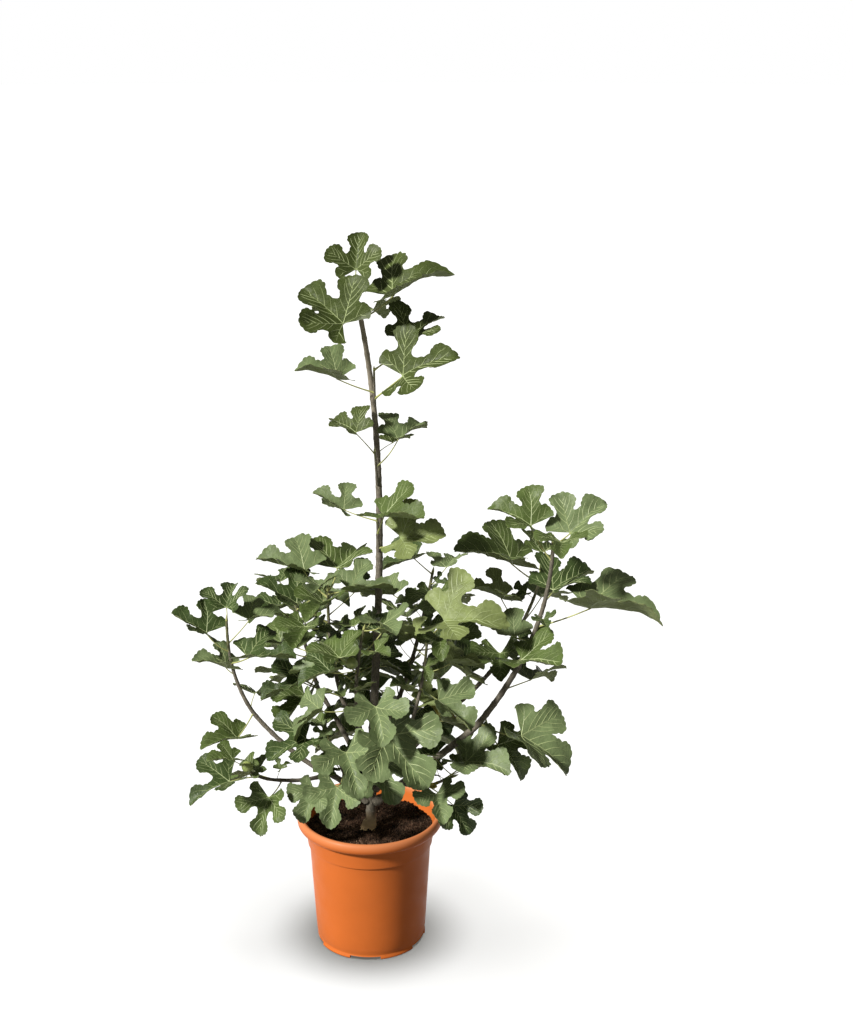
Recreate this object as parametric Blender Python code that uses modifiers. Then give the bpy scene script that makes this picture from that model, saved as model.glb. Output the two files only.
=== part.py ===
"""Fig tree in a round nursery pot.

Units are metres and +Z is up. The pot's axis is the Z axis, the pot stands on z = 0 and
its front looks along -Y. The leader (trunk), the boughs and the shoots are arcs between
two ends. Leaves are grown on the shoots, first the ones that stand out singly and then
the filling ones, which follow a golden-angle rule with a fixed seed.
"""

import math
import random
from collections import namedtuple

import bmesh
import bpy
from mathutils import Matrix, Vector
from mathutils.bvhtree import BVHTree

# Fits between pieces
GAP = 0.0003
LEAF_CLEARANCE = 0.0016

# Pot of 15 litres, injection moulded
POT_HEIGHT = 0.280
RIM_OUTER_R = 0.150
RIM_ROLL_R = 0.0060
RIM_SKIRT = 0.022
COLLAR_TOP_R = 0.1355
COLLAR_FOOT_R = 0.1285
COLLAR_FOOT_Z = 0.216
COLLAR_STEP = 0.004
BODY_TOP_R = 0.1250
BODY_FOOT_R = 0.1130
WALL = 0.0028
FOOT_HEIGHT = 0.0075
FOOT_EDGE_R = 0.1136
FOOT_WIDTH = 0.0050
BASE_ROUNDING = 0.008
PAD_R = 0.030
NOTCH_COUNT = 5
NOTCH_ANGLE = math.radians(33)
NOTCH_FIRST = math.radians(-94.5)
DRAIN_R = 0.006
DRAIN_CIRCLE_R = 0.088
POT_STEPS = 36

# Soil
SOIL_LEVEL = 0.244
SOIL_BUMP = 0.004
SOIL_SEAT_R = 0.028
SOIL_RINGS = 5
SOIL_CLEARANCE = 0.0006

# Leader
TRUNK_FOOT = Vector((0.002, 0.0, SOIL_LEVEL + GAP))
TRUNK_TIP = Vector((-0.006, 0.0, 1.302))
TRUNK_BOW = Vector((0.028, 0.0, 0.0))
TRUNK_BOW_SKEW = 1.6
TRUNK_FOOT_R = 0.0100
TRUNK_TIP_R = 0.0046
ROOT_FLARE_R = 0.0185
ROOT_FLARE_HEIGHT = 0.022
ROOT_FLARE_SHIFT = -0.005

# Leaves
SUN_SIDE = -0.10
GOLDEN_ANGLE = 137.5
STALK_FOOT_R = 0.0020
STALK_TIP_R = 0.0009
STALK_ROOT = 0.10
BLADE_THICKNESS = 0.0019
BLADE_FOLD = 0.70
BLADE_DROOP = 0.16
BLADE_CURL = 0.22
SINUS_REACH = 0.38
MIDDLE_LOBE = 2
FIG_R = 0.0115
TRIES = 16
NUDGE = 4
RISE_NUDGE = 0.6
TILT_NUDGE = 0.5
SEED = 11

# Filling leaves, in degrees
FILL_TURN = 24
FILL_SWAY = 14
FILL_HEAD = 30
FILL_LEAN = (-8, 16)

# Side shoots of the leader and the space kept round the pot
SPUR_RISE = 0.085
POT_MARGIN = 0.001

Limb = namedtuple("Limb", "name carrier foot tip bow foot_r tip_r")
Shoot = namedtuple("Shoot", "name carrier tip bow foot_r tip_r reach fill")
Fill = namedtuple("Fill", "count start phase stalk blade rise tilt")
Shown = namedtuple("Shown", "share turn rise stalk head tilt blade lean")
Leaf = namedtuple("Leaf", "root joint midrib side normal blade")

# Boughs: name, carrier, foot, tip, bow at the middle, radius at foot and tip
BOUGHS = [
    Limb("left_bough", "trunk", (0.0, -0.004, 0.298), (-0.100, -0.020, 0.383),
         (0, 0, 0.008), 0.0066, 0.0056),
    Limb("left_rising_bough", "left_bough", (-0.100, -0.020, 0.383), (-0.231, 0, 0.496),
         (0, 0, -0.010), 0.0052, 0.0044),
    Limb("left_low_bough", "left_bough", (-0.093, -0.024, 0.372), (-0.172, -0.052, 0.376),
         (0, 0, -0.004), 0.0044, 0.0038),
    Limb("right_outer_bough", "trunk", (0.010, -0.006, 0.302), (0.215, -0.055, 0.495),
         (0, 0, -0.004), 0.0085, 0.0066),
    Limb("right_inner_bough", "trunk", (0.012, 0.004, 0.326), (0.207, 0.080, 0.509),
         (0, 0, 0.010), 0.0062, 0.0050),
    Limb("front_bough", "trunk", (0.004, -0.008, 0.348), (-0.021, -0.070, 0.538),
         (0, -0.010, 0), 0.0052, 0.0044),
    Limb("left_inner_bough", "trunk", (0.008, 0.002, 0.420), (-0.055, 0.004, 0.530),
         (0, 0, -0.004), 0.0048, 0.0042),
    Limb("back_left_bough", "trunk", (0.002, 0.004, 0.330), (-0.110, 0.120, 0.500),
         (0, 0, 0.010), 0.0056, 0.0046),
    Limb("back_right_bough", "trunk", (0.008, 0.006, 0.350), (0.080, 0.150, 0.530),
         (0, 0, 0.008), 0.0056, 0.0046),
    Limb("centre_right_bough", "trunk", (0.012, -0.002, 0.380), (0.086, -0.052, 0.500),
         (0, 0, 0.004), 0.0048, 0.0040),
    Limb("low_front_bough", "trunk", (0.002, -0.008, 0.322), (-0.040, -0.062, 0.372),
         (0, 0, 0.006), 0.0044, 0.0038),
    Limb("low_right_bough", "trunk", (0.010, -0.006, 0.334), (0.105, -0.085, 0.372),
         (0, 0, 0.012), 0.0046, 0.0038),
    Limb("low_back_bough", "trunk", (0.006, 0.006, 0.308), (0.040, 0.110, 0.380),
         (0, 0, 0.010), 0.0046, 0.0038),
]

# Leafy shoots: name, carrier, tip, bow, radii, reach of the mass, and its filling leaves
# Fill: count, first share of the shoot, first turn, stalk and blade from foot to tip, rise, tilt
SHOOTS = [
    Shoot("leader_top_leaves", "trunk", (-0.014, 0.002, 1.345), (0, 0, 0), 0.0044, 0.0028, 0.22,
          Fill(1, 0.3, 215, (0.055, 0.045), (0.070, 0.060), (10, 30), (-15, 5))),
    Shoot("leader_upper_leaves", "trunk", (0.018, -0.026, 1.215), (0, 0, 0), 0.0028, 0.0020, 0.22,
          Fill(0, 0, 0, (0, 0), (0, 0), (0, 0), (0, 0))),
    Shoot("leader_back_leaves", "trunk", (0.022, 0.034, 1.090), (0, 0, 0), 0.0028, 0.0020, 0.22,
          Fill(0, 0, 0, (0, 0), (0, 0), (0, 0), (0, 0))),
    Shoot("leader_middle_leaves", "trunk", (0.018, -0.030, 1.058), (0, 0, 0), 0.0028, 0.0020, 0.20,
          Fill(0, 0, 0, (0, 0), (0, 0), (0, 0), (0, 0))),
    Shoot("leader_lower_leaves", "trunk", (0.022, -0.034, 0.926), (0, 0, 0), 0.0030, 0.0020, 0.22,
          Fill(0, 0, 0, (0, 0), (0, 0), (0, 0), (0, 0))),
    Shoot("left_rising_leaves", "left_rising_bough", (-0.281, 0.002, 0.700),
          (-0.014, 0, -0.010), 0.0042, 0.0026, 0.26,
          Fill(1, 0.05, 90, (0.050, 0.040), (0.066, 0.056), (5, 35), (-20, 5))),
    Shoot("left_low_leaves", "left_low_bough", (-0.243, -0.100, 0.431),
          (-0.010, 0, -0.008), 0.0036, 0.0024, 0.22,
          Fill(2, 0.1, 40, (0.060, 0.045), (0.080, 0.060), (10, 35), (-15, 5))),
    Shoot("right_outer_leaves", "right_outer_bough", (0.360, -0.060, 0.885),
          (0.036, 0, -0.004), 0.0064, 0.0034, 0.36,
          Fill(2, 0.2, 60, (0.065, 0.050), (0.085, 0.070), (0, 35), (-20, 5))),
    Shoot("right_inner_leaves", "right_inner_bough", (0.350, 0.100, 0.755),
          (0.014, 0, -0.012), 0.0048, 0.0028, 0.30,
          Fill(4, 0.0, 130, (0.080, 0.055), (0.100, 0.070), (10, 40), (-20, 5))),
    Shoot("front_leaves", "front_bough", (-0.003, -0.120, 0.729), (-0.006, 0, 0), 0.0042, 0.0026, 0.30,
          Fill(7, 0.0, 200, (0.080, 0.050), (0.100, 0.065), (0, 40), (-25, 0))),
    Shoot("left_inner_leaves", "left_inner_bough", (-0.078, 0.0, 0.765),
          (-0.008, 0, 0), 0.0040, 0.0026, 0.32,
          Fill(10, 0.0, 170, (0.085, 0.055), (0.100, 0.072), (5, 35), (-20, 10))),
    Shoot("back_left_leaves", "back_left_bough", (-0.165, 0.205, 0.680),
          (0, 0, -0.010), 0.0044, 0.0028, 0.32,
          Fill(9, 0.0, 110, (0.085, 0.055), (0.100, 0.072), (0, 40), (-25, 0))),
    Shoot("back_right_leaves", "back_right_bough", (0.130, 0.235, 0.720),
          (0, 0, -0.010), 0.0044, 0.0028, 0.32,
          Fill(10, 0.0, 40, (0.085, 0.055), (0.100, 0.072), (0, 40), (-25, 0))),
    Shoot("centre_right_leaves", "centre_right_bough", (0.118, -0.078, 0.695),
          (0.006, 0, 0), 0.0038, 0.0024, 0.26,
          Fill(6, 0.0, 330, (0.075, 0.050), (0.095, 0.068), (0, 35), (-25, 0))),
    Shoot("low_front_leaves", "low_front_bough", (-0.070, -0.088, 0.470), (0, 0, 0), 0.0036, 0.0024, 0.24,
          Fill(4, 0.0, 190, (0.070, 0.050), (0.090, 0.075), (0, 30), (-30, -10))),
    Shoot("low_right_leaves", "low_right_bough", (0.172, -0.112, 0.415), (0, 0, 0), 0.0036, 0.0024, 0.24,
          Fill(3, 0.1, 250, (0.060, 0.050), (0.085, 0.075), (0, 30), (-30, -10))),
    Shoot("low_back_leaves", "low_back_bough", (0.060, 0.165, 0.460), (0, 0, 0), 0.0036, 0.0024, 0.26,
          Fill(8, 0.0, 20, (0.080, 0.055), (0.100, 0.078), (0, 35), (-30, -5))),
]

# Leaves that stand out singly: share of the shoot, stalk's turn and rise in degrees, stalk,
# blade's heading and tilt in degrees, blade length to the middle lobe's tip, and how far the
# upper face leans to the front in degrees
SHOWN = {
    "leader_top_leaves": [
        Shown(1.0, 100, 84, 0.054, 80, 70, 0.078, 30),
        Shown(0.08, 240, 0, 0.060, 160, 40, 0.110, 46),
        Shown(0.1, 338, 36, 0.080, 10, 34, 0.126, 6),
        Shown(0.3, 62, 0, 0.046, 70, -14, 0.070, 4),
    ],
    "leader_upper_leaves": [
        Shown(1.0, 18, 38, 0.088, 36, 36, 0.088, 30),
        Shown(0.1, 326, 42, 0.092, 348, 36, 0.112, 40),
        Shown(0.3, 198, 24, 0.078, 186, 24, 0.086, 12),
    ],
    "leader_back_leaves": [
        Shown(0.3, 50, 16, 0.046, 53, 8, 0.054, 6),
    ],
    "leader_middle_leaves": [
        Shown(0.9, 220, 48, 0.068, 140, 20, 0.070, 11),
        Shown(0.5, 0, 53, 0.070, 44, 20, 0.078, 10),
    ],
    "leader_lower_leaves": [
        Shown(0.9, 172, 17, 0.068, 160, 30, 0.074, 8),
        Shown(0.5, 285, 50, 0.060, 325, 14, 0.098, 10),
        Shown(0.0, 320, 30, 0.066, 335, 16, 0.094, 42),
    ],
    "left_rising_leaves": [
        Shown(1.0, 97, 68, 0.030, 82, 38, 0.070, 14),
        Shown(0.72, 194, 46, 0.062, 180, 34, 0.084, 14),
        Shown(0.80, 4, 50, 0.066, 22, 8, 0.078, 6),
        Shown(0.60, 330, 33, 0.052, 5, 10, 0.100, 5),
        Shown(0.48, 190, 46, 0.020, 198, 30, 0.074, 6),
        Shown(0.26, 305, 60, 0.060, 33, 40, 0.062, 8),
        Shown(0.0, 235, -38, 0.062, 215, 14, 0.084, 10),
    ],
    "left_low_leaves": [
        Shown(1.0, 235, 40, 0.045, 205, 18, 0.055, 8),
        Shown(0.5, 200, 0, 0.060, 207, -8, 0.090, 14),
        Shown(0.0, 240, -20, 0.050, 232, -58, 0.080, 42),
    ],
    "right_outer_leaves": [
        Shown(0.92, 164, 58, 0.080, 168, 28, 0.094, 20),
        Shown(0.86, 330, 26, 0.040, 8, 24, 0.098, 10),
        Shown(1.0, 30, 26, 0.044, 18, 42, 0.098, 30),
        Shown(0.56, 346, 26, 0.112, 346, 6, 0.146, -6),
        Shown(0.70, 60, 10, 0.045, 30, 14, 0.100, 10),
        Shown(0.48, 256, -20, 0.050, 334, 22, 0.100, 10),
        Shown(0.48, 190, 25, 0.032, 186, 32, 0.076, 10),
        Shown(0.0, 346, -12, 0.088, 348, -30, 0.124, 14),
        Shown(0.04, 30, -66, 0.076, 345, -44, 0.096, 20),
    ],
    "right_inner_leaves": [
        Shown(0.98, 205, 40, 0.080, 195, 26, 0.130, 10),
        Shown(0.62, 212, 58, 0.085, 205, 34, 0.084, 12),
        Shown(0.05, 250, 38, 0.080, 200, 45, 0.100, 12),
    ],
    "front_leaves": [
        Shown(0.0, 308, -12, 0.105, 322, -40, 0.132, 42),
        Shown(0.45, 250, 50, 0.080, 130, 22, 0.082, 12),
    ],
    "left_inner_leaves": [
        Shown(0.70, 195, 38, 0.080, 180, 34, 0.096, 14),
        Shown(0.95, 150, 40, 0.070, 160, 10, 0.100, 8),
        Shown(1.0, 80, 40, 0.060, 70, 20, 0.100, 10),
        Shown(0.98, 340, 30, 0.060, 20, 14, 0.090, 8),
    ],
    "centre_right_leaves": [
        Shown(1.0, 330, 50, 0.060, 340, 12, 0.122, 30),
    ],
    "low_front_leaves": [
        Shown(0.3, 264, 3, 0.078, 256, -44, 0.084, 34),
        Shown(0.0, 200, -5, 0.070, 235, -48, 0.070, 34),
        Shown(1.0, 300, 10, 0.060, 290, -30, 0.098, 38),
        Shown(0.6, 340, 0, 0.075, 318, -42, 0.092, 41),
        Shown(0.9, 175, 22, 0.060, 200, -18, 0.090, 30),
    ],
    "low_right_leaves": [
        Shown(0.5, 10, 40, 0.070, 330, 10, 0.098, 14),
        Shown(0.2, 326, -22, 0.064, 322, -52, 0.070, 30),
        Shown(1.0, 285, 44, 0.052, 284, -22, 0.066, 20),
    ],
}

# Small green figs: shoot, share of the shoot, turn
FIGS = [
    ("front_leaves", 0.55, 235),
    ("left_low_leaves", 0.92, 280),
    ("left_inner_leaves", 0.35, 300),
]


def clear_scene():
    """Remove the start-up objects."""
    for item in list(bpy.data.objects):
        bpy.data.objects.remove(item, do_unlink=True)


def new_collection(name):
    """Make a collection in the scene."""
    collection = bpy.data.collections.new(name)
    bpy.context.scene.collection.children.link(collection)
    return collection


def make_material(name, color, roughness, metallic=0.0):
    """Make a plain Principled material."""
    material = bpy.data.materials.new(name)
    material.use_nodes = True
    shader = material.node_tree.nodes["Principled BSDF"]
    shader.inputs["Base Color"].default_value = (*color, 1.0)
    shader.inputs["Roughness"].default_value = roughness
    shader.inputs["Metallic"].default_value = metallic
    material.diffuse_color = (*color, 1.0)
    return material


def add_object(name, data, collection, material=None):
    """Put a mesh or curve in the scene as a named object."""
    item = bpy.data.objects.new(name, data)
    collection.objects.link(item)
    if material:
        data.materials.append(material)
    return item


def evaluated_mesh(item):
    """The object's mesh with its modifiers applied, in world space, with its seams welded."""
    bpy.context.view_layer.update()
    graph = bpy.context.evaluated_depsgraph_get()
    mesh = bpy.data.meshes.new_from_object(item.evaluated_get(graph))
    mesh.transform(item.matrix_world)
    cleaned = bmesh.new()
    cleaned.from_mesh(mesh)
    bmesh.ops.remove_doubles(cleaned, verts=cleaned.verts, dist=1e-6)
    bmesh.ops.recalc_face_normals(cleaned, faces=cleaned.faces)
    cleaned.to_mesh(mesh)
    cleaned.free()
    return mesh


def turned(name, profile, steps, collection, material):
    """Turn a profile of (radius, height) points about Z with a Screw modifier."""
    mesh = bpy.data.meshes.new(name)
    edges = [(i, i + 1) for i in range(len(profile) - 1)]
    mesh.from_pydata([(r, 0.0, z) for r, z in profile], edges, [])
    item = add_object(name, mesh, collection, material)
    screw = item.modifiers.new("turn", "SCREW")
    screw.steps = steps
    screw.render_steps = steps
    screw.use_merge_vertices = True
    screw.merge_threshold = 1e-5
    return item


def arc_points(centre, radius, start, end, count):
    """Points of an arc in the profile plane, angles in degrees."""
    angles = [math.radians(start + (end - start) * i / (count - 1)) for i in range(count)]
    return [(centre[0] + radius * math.cos(a), centre[1] + radius * math.sin(a)) for a in angles]


# Pot and soil

def wall_inner_radius(z):
    """Inner radius of the pot's wall at a height."""
    if z >= COLLAR_FOOT_Z:
        share = (z - COLLAR_FOOT_Z) / (POT_HEIGHT - RIM_SKIRT - COLLAR_FOOT_Z)
        return COLLAR_FOOT_R + (COLLAR_TOP_R - COLLAR_FOOT_R) * min(share, 1.0) - WALL
    share = (z - FOOT_HEIGHT) / (COLLAR_FOOT_Z - FOOT_HEIGHT)
    return BODY_FOOT_R + (BODY_TOP_R - BODY_FOOT_R) * max(share, 0.0) - WALL


def inner_wall():
    """Inside of the pot's half section, from the floor's edge up to the rim."""
    floor_top = FOOT_HEIGHT + WALL
    points = [(wall_inner_radius(floor_top) - BASE_ROUNDING, floor_top)]
    points.append((wall_inner_radius(floor_top + BASE_ROUNDING), floor_top + BASE_ROUNDING))
    points.append((wall_inner_radius(COLLAR_FOOT_Z - COLLAR_STEP), COLLAR_FOOT_Z - COLLAR_STEP))
    points.append((COLLAR_FOOT_R - WALL, COLLAR_FOOT_Z))
    points.append((COLLAR_TOP_R - WALL, POT_HEIGHT - RIM_SKIRT))
    return points


def pot_profile():
    """Half section of the pot, from the floor's middle up the inside and down the outside."""
    collar_top = POT_HEIGHT - RIM_SKIRT
    roll_centre = (RIM_OUTER_R - RIM_ROLL_R, POT_HEIGHT - RIM_ROLL_R)
    skirt_inner_r = RIM_OUTER_R - WALL
    points = [(0.0, FOOT_HEIGHT + WALL)] + inner_wall()
    points += arc_points(roll_centre, RIM_ROLL_R, 165, 0, 5)
    points.append((RIM_OUTER_R - 0.0004, collar_top + 0.0012))
    points.append((RIM_OUTER_R - 0.0016, collar_top))
    points.append((skirt_inner_r, collar_top))
    points.append((skirt_inner_r, POT_HEIGHT - RIM_ROLL_R - 0.003))
    points.append((COLLAR_TOP_R + 0.002, POT_HEIGHT - RIM_ROLL_R - 0.003))
    points.append((COLLAR_TOP_R, collar_top))
    points.append((COLLAR_FOOT_R, COLLAR_FOOT_Z))
    points.append((BODY_TOP_R, COLLAR_FOOT_Z - 0.002))
    points.append((BODY_FOOT_R + 0.0004, FOOT_HEIGHT + BASE_ROUNDING))
    points.append((BODY_FOOT_R - 0.0018, FOOT_HEIGHT + 0.001))
    points.append((FOOT_EDGE_R, 0.0012))
    points.append((FOOT_EDGE_R - 0.0012, 0.0))
    points.append((FOOT_EDGE_R - FOOT_WIDTH, 0.0))
    points.append((FOOT_EDGE_R - FOOT_WIDTH - 0.001, FOOT_HEIGHT))
    points.append((PAD_R + 0.001, FOOT_HEIGHT))
    points.append((PAD_R, 0.0))
    points.append((0.0, 0.0))
    return points


def foot_notch_cutter(index, cutters):
    """Wedge that opens the foot ring between two feet."""
    middle = NOTCH_FIRST + index * 2 * math.pi / NOTCH_COUNT
    inner_r = FOOT_EDGE_R - FOOT_WIDTH - 0.004
    outer_r = FOOT_EDGE_R + 0.004
    steps = 6
    angles = [middle + NOTCH_ANGLE * (i / steps - 0.5) for i in range(steps + 1)]
    ring = [(outer_r * math.cos(a), outer_r * math.sin(a)) for a in angles]
    ring += [(inner_r * math.cos(a), inner_r * math.sin(a)) for a in reversed(angles)]
    curve = bpy.data.curves.new(f"notch_{index}", "CURVE")
    curve.dimensions = "2D"
    curve.fill_mode = "BOTH"
    curve.extrude = 0.008
    spline = curve.splines.new("POLY")
    spline.points.add(len(ring) - 1)
    for point, (x, y) in zip(spline.points, ring):
        point.co = (x, y, 0.0, 1.0)
    spline.use_cyclic_u = True
    outline = add_object(f"notch_{index}_outline", curve, cutters)
    outline.location.z = FOOT_HEIGHT - 0.0015 - curve.extrude
    cutter = add_object(f"notch_{index}_cutter", evaluated_mesh(outline), cutters)
    bpy.data.objects.remove(outline, do_unlink=True)
    return cutter


def drain_cutter(index, cutters):
    """Round drain hole through the floor, behind a notch."""
    angle = NOTCH_FIRST + index * 2 * math.pi / NOTCH_COUNT
    shape = bmesh.new()
    bmesh.ops.create_cone(shape, cap_ends=True, segments=10, radius1=DRAIN_R, radius2=DRAIN_R, depth=0.03)
    mesh = bpy.data.meshes.new(f"drain_{index}")
    shape.to_mesh(mesh)
    shape.free()
    cutter = add_object(f"drain_{index}_cutter", mesh, cutters)
    cutter.location = (DRAIN_CIRCLE_R * math.cos(angle), DRAIN_CIRCLE_R * math.sin(angle), FOOT_HEIGHT)
    return cutter


def make_pot(collection, cutters, material):
    """Turned pot with a notched foot ring and drain holes."""
    pot = turned("pot", pot_profile(), POT_STEPS, collection, material)
    tools = [foot_notch_cutter(i, cutters) for i in range(NOTCH_COUNT)]
    tools += [drain_cutter(i, cutters) for i in range(NOTCH_COUNT)]
    for tool in tools:
        tool.hide_render = True
        tool.display_type = "WIRE"
        cut = pot.modifiers.new(tool.name, "BOOLEAN")
        cut.operation = "DIFFERENCE"
        cut.object = tool
    return pot


def soil_height(x, y):
    """Height of the soil's bumpy top, level round the trunk and along the wall."""
    radius = math.hypot(x, y)
    seat = min(max((radius - SOIL_SEAT_R) / 0.02, 0.0), 1.0)
    wave = math.sin(41 * x + 1.3) * math.cos(37 * y - 0.6) + 0.6 * math.sin(90 * x - 60 * y)
    return SOIL_LEVEL + SOIL_BUMP * 0.6 * seat * wave


def make_soil(collection, material):
    """Filled body of soil, 0.3 mm clear of the pot."""
    top_r = wall_inner_radius(SOIL_LEVEL) - SOIL_CLEARANCE
    profile = [(top_r * i / SOIL_RINGS, SOIL_LEVEL) for i in range(SOIL_RINGS + 1)]
    wall = [point for point in reversed(inner_wall()) if point[1] < SOIL_LEVEL]
    profile += [(radius - SOIL_CLEARANCE, z + GAP) for radius, z in wall]
    profile.append((0.0, profile[-1][1]))
    blank = turned("soil_blank", profile, POT_STEPS, collection, None)
    soil = add_object("soil", evaluated_mesh(blank), collection, material)
    bpy.data.objects.remove(blank, do_unlink=True)
    for vertex in soil.data.vertices:
        if abs(vertex.co.z - SOIL_LEVEL) < 1e-5 and math.hypot(vertex.co.x, vertex.co.y) < top_r - 1e-4:
            vertex.co.z = soil_height(vertex.co.x, vertex.co.y)
    return soil


# Limbs

def arc(foot, tip, bow, share):
    """Point of a limb's arc at a share of its length."""
    return foot.lerp(tip, share) + bow * (4 * share * (1 - share))


def lerp(pair, share):
    """Value between two ends."""
    return pair[0] + (pair[1] - pair[0]) * share


def trunk_path():
    """Points and radii of the leader, with its root flare."""
    flare = TRUNK_FOOT + Vector((ROOT_FLARE_SHIFT, 0, 0))
    top = TRUNK_FOOT + Vector((0, 0, ROOT_FLARE_HEIGHT))
    points = [flare, flare + Vector((0, 0, ROOT_FLARE_HEIGHT * 0.3)), top]
    radii = [ROOT_FLARE_R, ROOT_FLARE_R * 0.82, TRUNK_FOOT_R * 1.12]
    steps = 14
    for i in range(1, steps + 1):
        share = i / steps
        bent = share ** TRUNK_BOW_SKEW
        points.append(top.lerp(TRUNK_TIP, share) + TRUNK_BOW * (4 * bent * (1 - bent)))
        radii.append(lerp((TRUNK_FOOT_R, TRUNK_TIP_R), share ** 0.8))
    return points, radii


def limb_path(foot, tip, bow, foot_r, tip_r, steps):
    """Points and radii of a bough or shoot."""
    shares = [i / steps for i in range(steps + 1)]
    return [arc(foot, tip, bow, s) for s in shares], [lerp((foot_r, tip_r), s) for s in shares]


def limb_object(name, points, radii, sides_level, collection, material):
    """Tapering tube with filled caps, as a mesh."""
    curve = bpy.data.curves.new(name, "CURVE")
    curve.dimensions = "3D"
    curve.bevel_depth = 1.0
    curve.bevel_resolution = sides_level
    curve.use_fill_caps = True
    spline = curve.splines.new("POLY")
    spline.points.add(len(points) - 1)
    for knot, point, radius in zip(spline.points, points, radii):
        knot.co = (*point, 1.0)
        knot.radius = radius
    guide = add_object(name + "_guide", curve, collection)
    limb = add_object(name, evaluated_mesh(guide), collection, material)
    bpy.data.objects.remove(guide, do_unlink=True)
    return limb


def mesh_tree(mesh):
    """Search tree of a mesh's faces."""
    return BVHTree.FromPolygons([v.co for v in mesh.vertices], [p.vertices for p in mesh.polygons])


def seated_foot(foot, tip, radius, carrier_tree):
    """Foot moved out along the limb until its end stands 0.3 mm clear of its carrier."""
    direction = (tip - foot).normalized()
    across = direction.orthogonal().normalized()
    around = direction.cross(across)
    outside = 0.0
    step = 0.0001
    while outside < 0.08:
        centre = foot + direction * outside
        end = [centre]
        for girth in (radius, 0.75 * radius, 0.4 * radius):
            end += [centre + (across * math.cos(a) + around * math.sin(a)) * girth
                    for a in [math.tau * i / 12 for i in range(12)]]
        nearest = [carrier_tree.find_nearest(p) for p in end]
        if all((p - hit[0]).dot(hit[1]) > 0 and hit[3] > GAP for p, hit in zip(end, nearest)):
            return centre
        outside += step
    return foot + direction * outside


# Leaves

def blade_lobes(length):
    """The five lobes' rims in the blade's own plane, and the sinuses between them.

    The stalk's joint is at the origin and the middle lobe lies along +X.
    """
    lobes = [(-114, 0.48, 20, 2), (-56, 0.80, 19, 2), (0, 1.00, 17, 3), (56, 0.80, 19, 2), (114, 0.48, 20, 2)]
    rims = []
    for angle, reach, spread, points in lobes:
        rim = []
        for i in range(points):
            turn = spread * (2 * i / (points - 1) - 1)
            bearing = math.radians(angle + turn)
            radius = length * reach * (1.0 if turn == 0 else 0.88)
            rim.append((radius * math.cos(bearing), radius * math.sin(bearing)))
        rims.append(rim)
    sinuses = []
    for before, after in zip(lobes, lobes[1:]):
        bearing = math.radians((before[0] + after[0]) / 2)
        sinuses.append((length * SINUS_REACH * math.cos(bearing), length * SINUS_REACH * math.sin(bearing)))
    return rims, sinuses


def blade_height(u, v, length):
    """Height of the blade above its flat plane: sides folded up, tip drooping."""
    return BLADE_FOLD * abs(v) - BLADE_DROOP * u * abs(u) / length - BLADE_CURL * v * v / length


def blade_shape(leaf, thickness):
    """Vertices and faces of a closed leaf blade of some thickness."""
    rims, sinuses = blade_lobes(leaf.blade)
    rim = [(0.0, 0.0)]
    hubs = [0]
    top = []
    for index, lobe in enumerate(rims):
        first = len(rim)
        rim += lobe
        last = len(rim)
        if index < len(sinuses):
            rim.append(sinuses[index])
        else:
            last = 0
        fan = list(range(first, first + len(lobe))) + [last]
        if index == MIDDLE_LOBE:
            fan.insert(0, hubs[-1])
            top += [(0, fan[i], fan[i + 1]) for i in range(len(fan) - 1)]
        else:
            top += [(hubs[-1], fan[i], fan[i + 1]) for i in range(len(fan) - 1)]
        hubs.append(last)
    top += [(0, hubs[i], hubs[i + 1]) for i in range(1, len(hubs) - 2) if i != MIDDLE_LOBE]
    count = len(rim)
    corners = []
    for half in (0.5, -0.5):
        for u, v in rim:
            height = blade_height(u, v, leaf.blade) + half * thickness
            corners.append(leaf.joint + leaf.midrib * u + leaf.side * v + leaf.normal * height)
    faces = top + [(a + count, c + count, b + count) for a, b, c in top]
    faces += [(i, count + i, count + (i + 1) % count, (i + 1) % count) for i in range(count)]
    return corners, faces


def tube_shape(points, radii, sides=3):
    """Vertices and faces of a closed tube lofted through rings."""
    corners = []
    for index, (point, radius) in enumerate(zip(points, radii)):
        before = points[max(index - 1, 0)]
        after = points[min(index + 1, len(points) - 1)]
        along = (after - before).normalized()
        across = along.cross(Vector((0.31, 0.17, 0.93))).normalized()
        around = along.cross(across)
        for i in range(sides):
            angle = math.tau * i / sides
            corners.append(point + (across * math.cos(angle) + around * math.sin(angle)) * radius)
    faces = [tuple(reversed(range(sides)))]
    for ring in range(len(points) - 1):
        low = ring * sides
        for i in range(sides):
            right = (i + 1) % sides
            faces.append((low + i, low + right, low + sides + right, low + sides + i))
    last = (len(points) - 1) * sides
    faces.append(tuple(last + i for i in range(sides)))
    return corners, faces


def stalk_shape(leaf, extra):
    """Vertices and faces of a leaf's stalk, from inside the shoot to inside the blade."""
    rib = leaf.midrib * leaf.blade + leaf.normal * blade_height(leaf.blade, 0, leaf.blade)
    end = leaf.joint + rib * STALK_ROOT
    return tube_shape([leaf.root, end], [STALK_FOOT_R + extra, STALK_TIP_R + extra])


def direction(turn, rise):
    """Unit vector from a turn about Z (0 = +X, 90 = +Y) and a rise above level, in degrees."""
    t, r = math.radians(turn), math.radians(rise)
    return Vector((math.cos(t) * math.cos(r), math.sin(t) * math.cos(r), math.sin(r)))


def make_leaf(root, turn, rise, stalk, head, tilt, blade, lean):
    """Leaf whose blade leans its upper face to the front as far as its heading lets it."""
    joint = root + direction(turn, rise) * stalk
    midrib = direction(head, tilt)
    light = Vector((SUN_SIDE, -math.sin(math.radians(lean)), math.cos(math.radians(lean))))
    normal = (light - midrib * light.dot(midrib)).normalized()
    if normal.z < 0.25:
        normal = (Vector((0, 0, 1)) - midrib * midrib.z).normalized()
    return Leaf(root, joint, midrib, normal.cross(midrib), normal, blade)


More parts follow.
